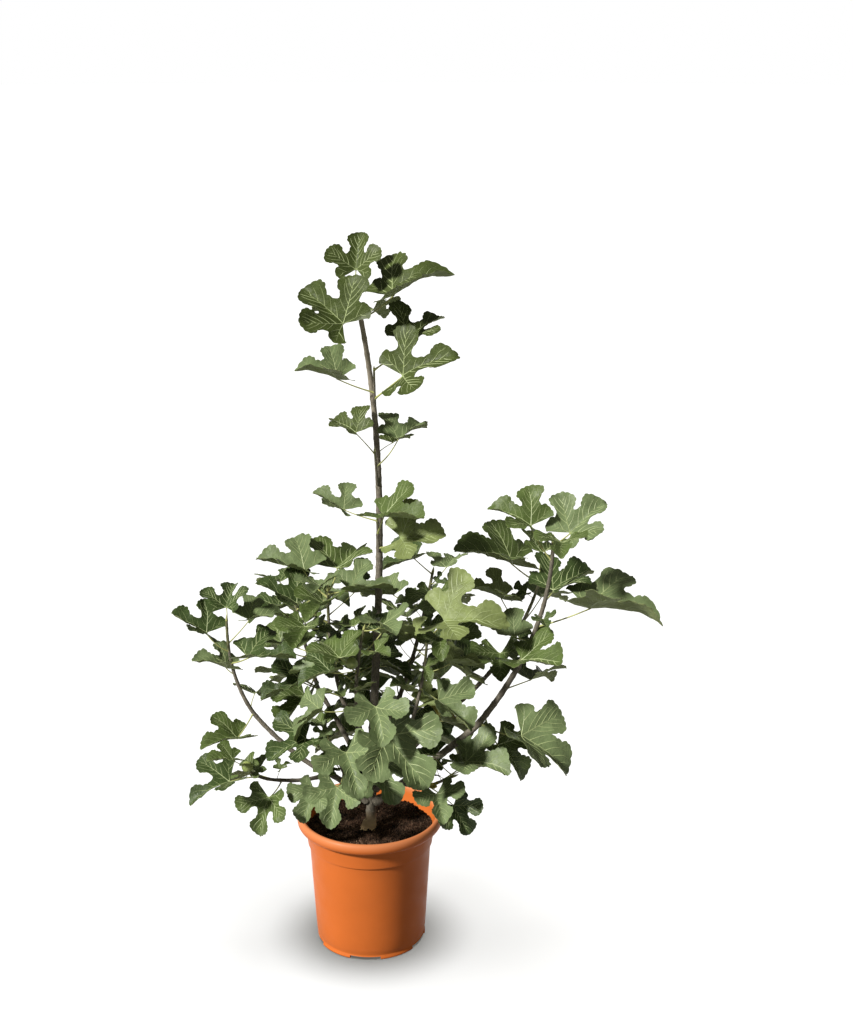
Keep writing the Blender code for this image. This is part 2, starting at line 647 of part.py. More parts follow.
def leaf_trees(leaf):
    """Search trees of a leaf's stalk and blade, fattened by the clearance."""
    return [BVHTree.FromPolygons(*stalk_shape(leaf, LEAF_CLEARANCE)),
            BVHTree.FromPolygons(*blade_shape(leaf, BLADE_THICKNESS + 2 * LEAF_CLEARANCE))]


class Crown:
    """Leaves accepted so far and the solids they keep clear of."""

    def __init__(self, limb_trees, pot_tree):
        self.limb_trees = limb_trees
        self.pot_tree = pot_tree
        self.leaves = {shoot.name: [] for shoot in SHOOTS}
        self.taken = []

    def fits(self, shoot_name, leaf):
        """Whether a leaf keeps clear of pot, limbs and every accepted leaf."""
        stalk, blade = leaf_trees(leaf)
        if stalk.overlap(self.pot_tree) or blade.overlap(self.pot_tree):
            return False
        for name, tree in self.limb_trees.items():
            if blade.overlap(tree) or (name != shoot_name and stalk.overlap(tree)):
                return False
        middle = leaf.joint + leaf.midrib * leaf.blade * 0.4
        for other, other_middle, other_trees, owner in self.taken:
            reach = leaf.blade + other.blade + 0.12
            if (middle - other_middle).length > reach:
                continue
            if any(blade.overlap(tree) for tree in other_trees):
                return False
            if stalk.overlap(other_trees[1]) or (owner != shoot_name and stalk.overlap(other_trees[0])):
                return False
        return True

    def accept(self, shoot_name, leaf):
        """Keep a leaf."""
        middle = leaf.joint + leaf.midrib * leaf.blade * 0.4
        self.leaves[shoot_name].append(leaf)
        self.taken.append((leaf, middle, leaf_trees(leaf), shoot_name))


def grow_shown(crown, shoot, path):
    """Place a shoot's single leaves, each turned a little at a time until it is clear."""
    for shown in SHOWN.get(shoot.name, []):
        root = path(shown.share)
        for attempt in range(TRIES):
            nudge = (attempt + 1) // 2 * (1 if attempt % 2 else -1) * NUDGE
            leaf = make_leaf(root, shown.turn + nudge, shown.rise + nudge * RISE_NUDGE, shown.stalk,
                             shown.head + nudge, shown.tilt + nudge * TILT_NUDGE, shown.blade, shown.lean)
            if crown.fits(shoot.name, leaf):
                crown.accept(shoot.name, leaf)
                break


def grow_filling(crown, shoot, path, dice):
    """Grow a shoot's filling leaves round it by the golden angle."""
    fill = shoot.fill
    middle = path(0.5)
    for number in range(fill.count):
        up = number / max(fill.count - 1, 1)
        share = fill.start + (1 - fill.start) * up
        for attempt in range(TRIES):
            sway = dice.uniform(-FILL_TURN, FILL_TURN) * (1 + 0.5 * attempt)
            turn = fill.phase + number * GOLDEN_ANGLE + sway
            rise = lerp(fill.rise, up) + dice.uniform(-FILL_SWAY, FILL_SWAY)
            stalk = lerp(fill.stalk, up) * dice.uniform(0.85, 1.2)
            blade = lerp(fill.blade, up) * dice.uniform(0.85, 1.1)
            head = turn + dice.uniform(-FILL_HEAD, FILL_HEAD)
            tilt = lerp(fill.tilt, up) + dice.uniform(-FILL_SWAY, FILL_SWAY)
            lean = dice.uniform(*FILL_LEAN)
            leaf = make_leaf(path(share), turn, rise, stalk, head, tilt, blade, lean)
            tip = leaf.joint + leaf.midrib * blade
            if (tip - middle).length < shoot.reach and crown.fits(shoot.name, leaf):
                crown.accept(shoot.name, leaf)
                break


def solid_from(name, shape, collection):
    """Object of one closed shape, which is its corners and its faces."""
    corners, faces = shape
    mesh = bpy.data.meshes.new(name)
    mesh.from_pydata(corners, [], faces)
    return add_object(name, mesh, collection)


def fig_object(name, root, turn, collection):
    """Small unripe fig on a short neck that starts inside the shoot."""
    shape = bmesh.new()
    bmesh.ops.create_icosphere(shape, subdivisions=1, radius=FIG_R)
    for vertex in shape.verts:
        if vertex.co.z < 0:
            vertex.co.z *= 1.9
            vertex.co.x *= 0.86
            vertex.co.y *= 0.86
    outward = direction(turn, 35)
    lean = Vector((0, 0, 1)).rotation_difference(outward).to_matrix().to_4x4()
    shape.transform(Matrix.Translation(root + outward * FIG_R * 1.75) @ lean)
    mesh = bpy.data.meshes.new(name)
    shape.to_mesh(mesh)
    shape.free()
    return add_object(name, mesh, collection)


def make_mass(shoot, stem, leaves, path, collection, material):
    """Join a shoot, its stalks, blades and figs into one closed solid."""
    parts = new_collection(shoot.name + "_parts")
    for number, leaf in enumerate(leaves):
        solid_from(f"{shoot.name}_stalk_{number}", stalk_shape(leaf, 0.0), parts)
        solid_from(f"{shoot.name}_blade_{number}", blade_shape(leaf, BLADE_THICKNESS), parts)
    for number, (owner, share, turn) in enumerate(FIGS):
        if owner == shoot.name:
            fig_object(f"{shoot.name}_fig_{number}", path(share), turn, parts)
    join = stem.modifiers.new("join", "BOOLEAN")
    join.operation = "UNION"
    join.operand_type = "COLLECTION"
    join.collection = parts
    join.solver = "MANIFOLD"
    mass = add_object(shoot.name, evaluated_mesh(stem), collection, material)
    bpy.data.objects.remove(stem, do_unlink=True)
    for item in list(parts.objects):
        bpy.data.objects.remove(item, do_unlink=True)
    bpy.data.collections.remove(parts)
    return mass


def shoot_foot(shoot, limbs, trees):
    """Where a shoot starts: beyond its bough's tip, or beside the trunk for a side shoot."""
    tip = Vector(shoot.tip)
    if shoot.carrier == "trunk" and shoot.name != "leader_top_leaves":
        hit = trees["trunk"].find_nearest(tip - Vector((0, 0, SPUR_RISE)))
        return seated_foot(hit[0] - hit[1] * 0.002, tip, shoot.foot_r, trees["trunk"])
    end = limbs[shoot.carrier][0][-1]
    return seated_foot(end, arc(end, tip, Vector(shoot.bow), 0.15), shoot.foot_r, trees[shoot.carrier])


def main():
    clear_scene()
    plant = new_collection("fig_tree_in_pot")
    cutters = new_collection("cutters")
    pot_plastic = make_material("pot_plastic", (0.72, 0.19, 0.06), 0.38)
    soil_matter = make_material("soil", (0.045, 0.028, 0.018), 0.95)
    bark = make_material("bark", (0.16, 0.12, 0.095), 0.85)
    foliage = make_material("foliage", (0.07, 0.15, 0.045), 0.5)

    make_pot(plant, cutters, pot_plastic)
    make_soil(plant, soil_matter)

    limbs = {"trunk": trunk_path()}
    trees = {"trunk": mesh_tree(limb_object("trunk", *limbs["trunk"], 3, plant, bark).data)}
    for bough in BOUGHS:
        foot, tip, bow = Vector(bough.foot), Vector(bough.tip), Vector(bough.bow)
        foot = seated_foot(foot, arc(foot, tip, bow, 0.15), bough.foot_r, trees[bough.carrier])
        limbs[bough.name] = limb_path(foot, tip, bow, bough.foot_r, bough.tip_r, 4)
        trees[bough.name] = mesh_tree(limb_object(bough.name, *limbs[bough.name], 2, plant, bark).data)

    stems, paths = {}, {}
    for shoot in SHOOTS:
        foot, tip, bow = shoot_foot(shoot, limbs, trees), Vector(shoot.tip), Vector(shoot.bow)
        points, radii = limb_path(foot, tip, bow, shoot.foot_r, shoot.tip_r, 5)
        stems[shoot.name] = limb_object(shoot.name + "_stem", points, radii, 1, plant, None)
        paths[shoot.name] = lambda share, f=foot, t=tip, b=bow: arc(f, t, b, 0.02 + 0.96 * share)
        trees[shoot.name] = mesh_tree(stems[shoot.name].data)

    guard = bmesh.new()
    bmesh.ops.create_cone(guard, cap_ends=True, segments=24, radius1=RIM_OUTER_R + POT_MARGIN,
                          radius2=RIM_OUTER_R + POT_MARGIN, depth=POT_HEIGHT + 4 * POT_MARGIN)
    bmesh.ops.translate(guard, verts=guard.verts, vec=(0, 0, POT_HEIGHT / 2))
    crown = Crown(trees, BVHTree.FromBMesh(guard))
    guard.free()
    for shoot in SHOOTS:
        grow_shown(crown, shoot, paths[shoot.name])
    dice = random.Random(SEED)
    for shoot in SHOOTS:
        grow_filling(crown, shoot, paths[shoot.name], dice)
    for shoot in SHOOTS:
        make_mass(shoot, stems[shoot.name], crown.leaves[shoot.name], paths[shoot.name], plant, foliage)


if __name__ == "__main__":
    main()
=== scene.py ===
"""Looks of the fig tree in its round nursery pot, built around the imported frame.

Units are metres and +Z is up, in the frame's own place. The leader, boughs and shoots get
bark, each leafy mass becomes single leaves on stalks, grown by the same rule as the solids,
and the pot and its soil get their fine shape. Each operator makes one group of pieces.
"""

import functools
import math
import random
from collections import namedtuple

import bmesh
import bpy
from bpy.props import FloatProperty, FloatVectorProperty, PointerProperty
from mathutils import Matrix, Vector, noise
from mathutils.bvhtree import BVHTree
from mathutils.geometry import delaunay_2d_cdt


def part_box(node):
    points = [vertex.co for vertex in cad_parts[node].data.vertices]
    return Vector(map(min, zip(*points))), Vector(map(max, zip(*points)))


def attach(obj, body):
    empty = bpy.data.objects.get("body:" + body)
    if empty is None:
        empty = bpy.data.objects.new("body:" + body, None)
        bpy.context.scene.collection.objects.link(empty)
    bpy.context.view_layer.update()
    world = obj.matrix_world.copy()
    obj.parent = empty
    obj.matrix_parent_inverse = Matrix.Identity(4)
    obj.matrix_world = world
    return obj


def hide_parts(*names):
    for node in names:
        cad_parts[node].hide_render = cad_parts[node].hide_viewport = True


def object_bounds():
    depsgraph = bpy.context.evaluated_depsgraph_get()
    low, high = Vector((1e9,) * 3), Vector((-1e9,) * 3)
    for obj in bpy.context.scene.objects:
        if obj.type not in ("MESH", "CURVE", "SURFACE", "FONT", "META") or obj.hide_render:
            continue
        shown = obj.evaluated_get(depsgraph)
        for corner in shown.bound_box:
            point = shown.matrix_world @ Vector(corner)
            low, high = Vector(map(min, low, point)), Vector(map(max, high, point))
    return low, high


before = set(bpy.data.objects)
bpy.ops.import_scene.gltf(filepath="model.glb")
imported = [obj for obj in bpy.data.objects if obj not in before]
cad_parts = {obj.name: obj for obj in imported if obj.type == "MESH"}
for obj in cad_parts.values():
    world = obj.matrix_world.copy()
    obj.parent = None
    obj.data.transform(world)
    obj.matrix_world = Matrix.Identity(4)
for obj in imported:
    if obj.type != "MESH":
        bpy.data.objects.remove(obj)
CAD_LOW, CAD_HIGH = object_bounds()
POT_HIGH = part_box("pot")[1]

bl_info = {
    "name": "Potted Fig Tree",
    "version": (1, 0, 0),
    "blender": (4, 5, 0),
    "location": "View3D > Sidebar > Fig Tree",
    "description": "Builds a fig tree in a round pot, with bark, leaves, young figs, pot and soil",
    "category": "Object",
}

# Fits between pieces
GAP = 0.0003
LEAF_CLEARANCE = 0.0016

# Pot of 15 litres, injection moulded
POT_HEIGHT = 0.280
RIM_OUTER_R = 0.150
RIM_SKIRT = 0.022
COLLAR_TOP_R = 0.1355
COLLAR_FOOT_R = 0.1285
COLLAR_FOOT_Z = 0.216
COLLAR_STEP = 0.004
BODY_TOP_R = 0.1250
BODY_FOOT_R = 0.1130
WALL = 0.0028
FOOT_HEIGHT = 0.0075
FOOT_EDGE_R = 0.1136
FOOT_WIDTH = 0.0050
BASE_ROUNDING = 0.008
PAD_R = 0.030
NOTCH_COUNT = 5
NOTCH_ANGLE = math.radians(33)
NOTCH_FIRST = math.radians(-94.5)
DRAIN_R = 0.006
DRAIN_CIRCLE_R = 0.088

# Soil
SOIL_LEVEL = 0.244
SOIL_BUMP = 0.004
SOIL_SEAT_R = 0.028

# Leader
TRUNK_FOOT = Vector((0.002, 0.0, SOIL_LEVEL + GAP))
TRUNK_TIP = Vector((-0.006, 0.0, 1.302))
TRUNK_BOW = Vector((0.028, 0.0, 0.0))
TRUNK_BOW_SKEW = 1.6
TRUNK_FOOT_R = 0.0100
TRUNK_TIP_R = 0.0046
ROOT_FLARE_R = 0.0185
ROOT_FLARE_HEIGHT = 0.022
ROOT_FLARE_SHIFT = -0.005

# Leaves
SUN_SIDE = -0.10
GOLDEN_ANGLE = 137.5
STALK_FOOT_R = 0.0020
STALK_TIP_R = 0.0009
STALK_ROOT = 0.10
BLADE_THICKNESS = 0.0019
BLADE_FOLD = 0.70
BLADE_DROOP = 0.16
BLADE_CURL = 0.22
SINUS_REACH = 0.38
MIDDLE_LOBE = 2
FIG_R = 0.0115
TRIES = 16
NUDGE = 4
RISE_NUDGE = 0.6
TILT_NUDGE = 0.5
SEED = 11

# Filling leaves, in degrees
FILL_TURN = 24
FILL_SWAY = 14
FILL_HEAD = 30
FILL_LEAN = (-8, 16)

# Side shoots of the leader and the space kept round the pot
SPUR_RISE = 0.085
POT_MARGIN = 0.001

# Fine shapes
POT_FINE_STEPS = 180
RIM_HALF_WIDTH = 0.0075
RIM_HALF_HEIGHT = 0.0115
RIM_NICK_ANGLE = math.radians(-91)
RIM_NICK_DEPTH = 0.0035
MOULD_LINE_ANGLE = math.radians(-70)
SOIL_SIDE = 0.02
LIMB_SPACING = 0.003
LIMB_SIDES = 14
WOOD_NODE_SPACING = 0.024
PATTERN_COUNT = 8
OUTLINE_STEP = 0.027
INNER_STEP = 0.085
TOOTH = 0.019
# Height where the pale foot, brightened as painted sunlight, fades into the bark
FOOT_PALE_AND_SUNLIT_TOP = 0.285
LEADER_DARK_TOP = 1.02
MAIN_VEIN = 0.0150
SIDE_VEIN = 0.0064
RELIEF_SCALE = 70.0
GRAIN_SCALE = 320.0
# Paler plastic for the painted highlight on the rim's top
RIM_PAINTED_HIGHLIGHT = (0.66, 0.30, 0.15)
SPLASH = (0.10, 0.045, 0.02)
LOOK_SEED = 5
BOX_MARGIN = 0.0004
FLOOR_RADIUS = 40.0
FLOOR_DROP = 0.0008
POT_SHARP = math.radians(38)
LEAF_SHARP = math.radians(55)
SOIL_FINE_RINGS = 44
SOIL_FINE_STEPS = 120
CHIP_SHARE = 0.13
CHIP_COLOURS = ((0.14, 0.085, 0.055), (0.40, 0.27, 0.18))
FIBRE_COLOURS = ((0.16, 0.10, 0.06), (0.34, 0.25, 0.17))
TRUNK_STEPS = 14
FLARE_STEPS = 12
LEADER_SINK = 0.003
LEADER_SIDES = 20
STALK_SIDES = 8
STALK_STEPS = 9
SIDE_VEIN_STEP = 0.05
VEIN_CLEARANCE = 0.035
SHOOT_SINK = 0.0045
BOUGH_SINK = 0.007
COLLAR_SWELLING = 0.2
COLLAR_FADE = 2.5
NODE_SWELLING = 0.13
FIRST_NODE = 0.012
YOUNG_NODE_SPACING = 0.7

# Fine leaf shape, in units of the middle lobe's length
RIDGE_SOFTNESS = 0.0012
RIDGE_DROP = 0.0346
CREASE_SOFTNESS = 0.0002
CREASE_DROP = 0.014
QUILT_SPACING = 0.15
RIPPLE_SCALE = 2.6
FINE_RIPPLE_SCALE = 7.5
LOBE_BEND_FROM = 0.38
PATTERN_SEED = 100

# Lumps of the soil: scale, place in the noise, height
SOIL_LUMPS = ((55, 2, 0.004), (170, 5, 0.003))

# Seating, as in the solids
SEAT_STEP = 0.0001
SEAT_REACH = 0.08
END_GIRTHS = (1, 0.75, 0.4)
CROWDING = 0.12
LEAST_UPRIGHT = 0.25

Limb = namedtuple("Limb", "name carrier foot tip bow foot_r tip_r")
Shoot = namedtuple("Shoot", "name carrier tip bow foot_r tip_r reach fill")
Fill = namedtuple("Fill", "count start phase stalk blade rise tilt")
NO_FILL = Fill(0, 0, 0, (0, 0), (0, 0), (0, 0), (0, 0))
Shown = namedtuple("Shown", "share turn rise stalk head tilt blade lean")
Leaf = namedtuple("Leaf", "root joint midrib side normal blade")

# Boughs: name, carrier, foot, tip, bow at the middle, radius at foot and tip
BOUGHS = [
    Limb("left_bough", "trunk", (0.0, -0.004, 0.298), (-0.100, -0.020, 0.383),
         (0, 0, 0.008), 0.0066, 0.0056),
    Limb("left_rising_bough", "left_bough", (-0.100, -0.020, 0.383), (-0.231, 0, 0.496),
         (0, 0, -0.010), 0.0052, 0.0044),
    Limb("left_low_bough", "left_bough", (-0.093, -0.024, 0.372), (-0.172, -0.052, 0.376),
         (0, 0, -0.004), 0.0044, 0.0038),
    Limb("right_outer_bough", "trunk", (0.010, -0.006, 0.302), (0.215, -0.055, 0.495),
         (0, 0, -0.004), 0.0085, 0.0066),
    Limb("right_inner_bough", "trunk", (0.012, 0.004, 0.326), (0.207, 0.080, 0.509),
         (0, 0, 0.010), 0.0062, 0.0050),
    Limb("front_bough", "trunk", (0.004, -0.008, 0.348), (-0.021, -0.070, 0.538),
         (0, -0.010, 0), 0.0052, 0.0044),
    Limb("left_inner_bough", "trunk", (0.008, 0.002, 0.420), (-0.055, 0.004, 0.530),
         (0, 0, -0.004), 0.0048, 0.0042),
    Limb("back_left_bough", "trunk", (0.002, 0.004, 0.330), (-0.110, 0.120, 0.500),
         (0, 0, 0.010), 0.0056, 0.0046),
    Limb("back_right_bough", "trunk", (0.008, 0.006, 0.350), (0.080, 0.150, 0.530),
         (0, 0, 0.008), 0.0056, 0.0046),
    Limb("centre_right_bough", "trunk", (0.012, -0.002, 0.380), (0.086, -0.052, 0.500),
         (0, 0, 0.004), 0.0048, 0.0040),
    Limb("low_front_bough", "trunk", (0.002, -0.008, 0.322), (-0.040, -0.062, 0.372),
         (0, 0, 0.006), 0.0044, 0.0038),
    Limb("low_right_bough", "trunk", (0.010, -0.006, 0.334), (0.105, -0.085, 0.372),
         (0, 0, 0.012), 0.0046, 0.0038),
    Limb("low_back_bough", "trunk", (0.006, 0.006, 0.308), (0.040, 0.110, 0.380),
         (0, 0, 0.010), 0.0046, 0.0038),
]

# Leafy shoots: name, carrier, tip, bow, radii, reach of the mass, and its filling leaves
# Fill: count, first share of the shoot, first turn, stalk and blade from foot to tip, rise, tilt
SHOOTS = [
    Shoot("leader_top_leaves", "trunk", (-0.014, 0.002, 1.345), (0, 0, 0), 0.0044, 0.0028, 0.22,
          Fill(1, 0.3, 215, (0.055, 0.045), (0.070, 0.060), (10, 30), (-15, 5))),
    Shoot("leader_upper_leaves", "trunk", (0.018, -0.026, 1.215), (0, 0, 0), 0.0028, 0.0020, 0.22, NO_FILL),
    Shoot("leader_back_leaves", "trunk", (0.022, 0.034, 1.090), (0, 0, 0), 0.0028, 0.0020, 0.22, NO_FILL),
    Shoot("leader_middle_leaves", "trunk", (0.018, -0.030, 1.058), (0, 0, 0), 0.0028, 0.0020, 0.20, NO_FILL),
    Shoot("leader_lower_leaves", "trunk", (0.022, -0.034, 0.926), (0, 0, 0), 0.0030, 0.0020, 0.22, NO_FILL),
    Shoot("left_rising_leaves", "left_rising_bough", (-0.281, 0.002, 0.700),
          (-0.014, 0, -0.010), 0.0042, 0.0026, 0.26,
          Fill(1, 0.05, 90, (0.050, 0.040), (0.066, 0.056), (5, 35), (-20, 5))),
    Shoot("left_low_leaves", "left_low_bough", (-0.243, -0.100, 0.431),
          (-0.010, 0, -0.008), 0.0036, 0.0024, 0.22,
          Fill(2, 0.1, 40, (0.060, 0.045), (0.080, 0.060), (10, 35), (-15, 5))),
    Shoot("right_outer_leaves", "right_outer_bough", (0.360, -0.060, 0.885),
          (0.036, 0, -0.004), 0.0064, 0.0034, 0.36,
          Fill(2, 0.2, 60, (0.065, 0.050), (0.085, 0.070), (0, 35), (-20, 5))),
    Shoot("right_inner_leaves", "right_inner_bough", (0.350, 0.100, 0.755),
          (0.014, 0, -0.012), 0.0048, 0.0028, 0.30,
          Fill(4, 0.0, 130, (0.080, 0.055), (0.100, 0.070), (10, 40), (-20, 5))),
    Shoot("front_leaves", "front_bough", (-0.003, -0.120, 0.729), (-0.006, 0, 0), 0.0042, 0.0026, 0.30,
          Fill(7, 0.0, 200, (0.080, 0.050), (0.100, 0.065), (0, 40), (-25, 0))),
    Shoot("left_inner_leaves", "left_inner_bough", (-0.078, 0.0, 0.765),
          (-0.008, 0, 0), 0.0040, 0.0026, 0.32,
          Fill(10, 0.0, 170, (0.085, 0.055), (0.100, 0.072), (5, 35), (-20, 10))),
    Shoot("back_left_leaves", "back_left_bough", (-0.165, 0.205, 0.680),
          (0, 0, -0.010), 0.0044, 0.0028, 0.32,
          Fill(9, 0.0, 110, (0.085, 0.055), (0.100, 0.072), (0, 40), (-25, 0))),
    Shoot("back_right_leaves", "back_right_bough", (0.130, 0.235, 0.720),
          (0, 0, -0.010), 0.0044, 0.0028, 0.32,
          Fill(10, 0.0, 40, (0.085, 0.055), (0.100, 0.072), (0, 40), (-25, 0))),
    Shoot("centre_right_leaves", "centre_right_bough", (0.118, -0.078, 0.695),
          (0.006, 0, 0), 0.0038, 0.0024, 0.26,
          Fill(6, 0.0, 330, (0.075, 0.050), (0.095, 0.068), (0, 35), (-25, 0))),
    Shoot("low_front_leaves", "low_front_bough", (-0.070, -0.088, 0.470), (0, 0, 0), 0.0036, 0.0024, 0.24,
          Fill(4, 0.0, 190, (0.070, 0.050), (0.090, 0.075), (0, 30), (-30, -10))),
    Shoot("low_right_leaves", "low_right_bough", (0.172, -0.112, 0.415), (0, 0, 0), 0.0036, 0.0024, 0.24,
          Fill(3, 0.1, 250, (0.060, 0.050), (0.085, 0.075), (0, 30), (-30, -10))),
    Shoot("low_back_leaves", "low_back_bough", (0.060, 0.165, 0.460), (0, 0, 0), 0.0036, 0.0024, 0.26,
          Fill(8, 0.0, 20, (0.080, 0.055), (0.100, 0.078), (0, 35), (-30, -5))),
]

# Leaves that stand out singly: share of the shoot, stalk's turn and rise in degrees, stalk,
# blade's heading and tilt in degrees, blade length to the middle lobe's tip, and how far the
# upper face leans to the front in degrees
SHOWN = {
    "leader_top_leaves": [
        Shown(1.0, 100, 84, 0.054, 80, 70, 0.078, 30),
        Shown(0.08, 240, 0, 0.060, 160, 40, 0.110, 46),
        Shown(0.1, 338, 36, 0.080, 10, 34, 0.126, 6),
        Shown(0.3, 62, 0, 0.046, 70, -14, 0.070, 4),
    ],
    "leader_upper_leaves": [
        Shown(1.0, 18, 38, 0.088, 36, 36, 0.088, 30),
        Shown(0.1, 326, 42, 0.092, 348, 36, 0.112, 40),
        Shown(0.3, 198, 24, 0.078, 186, 24, 0.086, 12),
    ],
    "leader_back_leaves": [
        Shown(0.3, 50, 16, 0.046, 53, 8, 0.054, 6),
    ],
    "leader_middle_leaves": [
        Shown(0.9, 220, 48, 0.068, 140, 20, 0.070, 11),
        Shown(0.5, 0, 53, 0.070, 44, 20, 0.078, 10),
    ],
    "leader_lower_leaves": [
        Shown(0.9, 172, 17, 0.068, 160, 30, 0.074, 8),
        Shown(0.5, 285, 50, 0.060, 325, 14, 0.098, 10),
        Shown(0.0, 320, 30, 0.066, 335, 16, 0.094, 42),
    ],
    "left_rising_leaves": [
        Shown(1.0, 97, 68, 0.030, 82, 38, 0.070, 14),
        Shown(0.72, 194, 46, 0.062, 180, 34, 0.084, 14),
        Shown(0.80, 4, 50, 0.066, 22, 8, 0.078, 6),
        Shown(0.60, 330, 33, 0.052, 5, 10, 0.100, 5),
        Shown(0.48, 190, 46, 0.020, 198, 30, 0.074, 6),
        Shown(0.26, 305, 60, 0.060, 33, 40, 0.062, 8),
        Shown(0.0, 235, -38, 0.062, 215, 14, 0.084, 10),
    ],
    "left_low_leaves": [
        Shown(1.0, 235, 40, 0.045, 205, 18, 0.055, 8),
        Shown(0.5, 200, 0, 0.060, 207, -8, 0.090, 14),
        Shown(0.0, 240, -20, 0.050, 232, -58, 0.080, 42),
    ],
    "right_outer_leaves": [
        Shown(0.92, 164, 58, 0.080, 168, 28, 0.094, 20),
        Shown(0.86, 330, 26, 0.040, 8, 24, 0.098, 10),
        Shown(1.0, 30, 26, 0.044, 18, 42, 0.098, 30),
        Shown(0.56, 346, 26, 0.112, 346, 6, 0.146, -6),
        Shown(0.70, 60, 10, 0.045, 30, 14, 0.100, 10),
        Shown(0.48, 256, -20, 0.050, 334, 22, 0.100, 10),
        Shown(0.48, 190, 25, 0.032, 186, 32, 0.076, 10),
        Shown(0.0, 346, -12, 0.088, 348, -30, 0.124, 14),
        Shown(0.04, 30, -66, 0.076, 345, -44, 0.096, 20),
    ],
    "right_inner_leaves": [
        Shown(0.98, 205, 40, 0.080, 195, 26, 0.130, 10),
        Shown(0.62, 212, 58, 0.085, 205, 34, 0.084, 12),
        Shown(0.05, 250, 38, 0.080, 200, 45, 0.100, 12),
    ],
    "front_leaves": [
        Shown(0.0, 308, -12, 0.105, 322, -40, 0.132, 42),
        Shown(0.45, 250, 50, 0.080, 130, 22, 0.082, 12),
    ],
    "left_inner_leaves": [
        Shown(0.70, 195, 38, 0.080, 180, 34, 0.096, 14),
        Shown(0.95, 150, 40, 0.070, 160, 10, 0.100, 8),
        Shown(1.0, 80, 40, 0.060, 70, 20, 0.100, 10),
        Shown(0.98, 340, 30, 0.060, 20, 14, 0.090, 8),
    ],
    "centre_right_leaves": [
        Shown(1.0, 330, 50, 0.060, 340, 12, 0.122, 30),
    ],
    "low_front_leaves": [
        Shown(0.3, 264, 3, 0.078, 256, -44, 0.084, 34),
        Shown(0.0, 200, -5, 0.070, 235, -48, 0.070, 34),
        Shown(1.0, 300, 10, 0.060, 290, -30, 0.098, 38),
        Shown(0.6, 340, 0, 0.075, 318, -42, 0.092, 41),
        Shown(0.9, 175, 22, 0.060, 200, -18, 0.090, 30),
    ],
    "low_right_leaves": [
        Shown(0.5, 10, 40, 0.070, 330, 10, 0.098, 14),
        Shown(0.2, 326, -22, 0.064, 322, -52, 0.070, 30),
        Shown(1.0, 285, 44, 0.052, 284, -22, 0.066, 20),
    ],
}

# Small green figs: shoot, share of the shoot, turn
FIGS = [
    ("front_leaves", 0.55, 235),
    ("left_low_leaves", 0.92, 280),
    ("left_inner_leaves", 0.35, 300),
]

# Groups of masses that share joined pieces: name, shoots
GROUPS = {
    "leader": ["leader_top_leaves", "leader_upper_leaves", "leader_back_leaves",
               "leader_middle_leaves", "leader_lower_leaves"],
    "left": ["left_rising_leaves", "left_low_leaves", "left_inner_leaves"],
    "right": ["right_outer_leaves", "right_inner_leaves"],
    "centre": ["front_leaves", "centre_right_leaves"],
    "low": ["low_front_leaves", "low_right_leaves", "low_back_leaves"],
    "back": ["back_left_leaves", "back_right_leaves"],
}

# Where a shoot's bark turns green, as a share of its length
YOUNG_FROM = {"right_outer_leaves": 0.97, "leader_top_leaves": 0.35, "front_leaves": 0.85}
YOUNG_FROM_OTHERS = 0.72

# Finer leaves on each shoot after the others: count, blade at foot and tip
FINER = {
    "left_low_leaves": (2, (0.032, 0.024)),
    "right_outer_leaves": (2, (0.046, 0.036)),
    "right_inner_leaves": (3, (0.048, 0.036)),
    "front_leaves": (5, (0.056, 0.036)),
    "left_inner_leaves": (5, (0.056, 0.036)),
    "back_left_leaves": (5, (0.056, 0.034)),
    "back_right_leaves": (5, (0.056, 0.034)),
    "centre_right_leaves": (4, (0.054, 0.034)),
    "low_front_leaves": (3, (0.050, 0.036)),
    "low_right_leaves": (3, (0.044, 0.032)),
    "low_back_leaves": (4, (0.052, 0.034)),
}

# Leaf colours dealt out by group: names and weights
PALETTES = {
    "leader": (("olive", 5), ("mid", 2), ("grey", 1)),
    "left": (("mid", 4), ("grey", 3), ("dark", 3)),
    "right": (("mid", 4), ("grey", 2), ("dark", 3), ("fresh", 1)),
    "centre": (("mid", 5), ("grey", 3), ("dark", 2), ("fresh", 1)),
    "low": (("grey", 5), ("mid", 3), ("dark", 2)),
    "back": (("mid", 4), ("dark", 4), ("grey", 2)),
}

# Camera, in the picture's own pixels
PICTURE_HEIGHT = 1024
FOCAL_PIXELS = 1631.9
SENSOR = 36.0
CAMERA_PLACE = (0.1167, -3.0371, 1.866)
CAMERA_DIP = 17.194
KEY_LEFT = 52
KEY_RISE = 37
FLOOR_LIGHT = 2.6
FLOOR_LIGHT_SPREAD = math.radians(34)
FLOOR_FILL = 1.25
KEY_COLOUR = (1.0, 0.97, 0.92)
SKY_COLOUR = (1.0, 0.96, 0.86)

# Leaves with a colour of their own, by shoot and number; their fresh yellow-green is painted backlight
LEAF_COLOURS = {
    "leader_top_leaves": {0: "olive", 1: "olive", 2: "olive", 3: "grey", 4: "olive"},
    "leader_upper_leaves": {0: "olive", 1: "olive", 2: "grey"},
    "leader_middle_leaves": {0: "olive", 1: "grey"},
    "leader_lower_leaves": {0: "grey", 1: "mid", 2: "fresh"},
    "right_outer_leaves": {0: "mid", 1: "grey", 2: "grey", 3: "dark", 5: "grey", 6: "grey", 7: "mid",
                           8: "dark"},
    "right_inner_leaves": {0: "mid"},
    "centre_right_leaves": {0: "fresh", 1: "old"},
    "front_leaves": {0: "grey"},
    "low_front_leaves": {0: "grey"},
    "left_rising_leaves": {3: "dark"},
    "low_right_leaves": {0: "grey", 1: "dark", 4: "dark", 5: "old"},
}

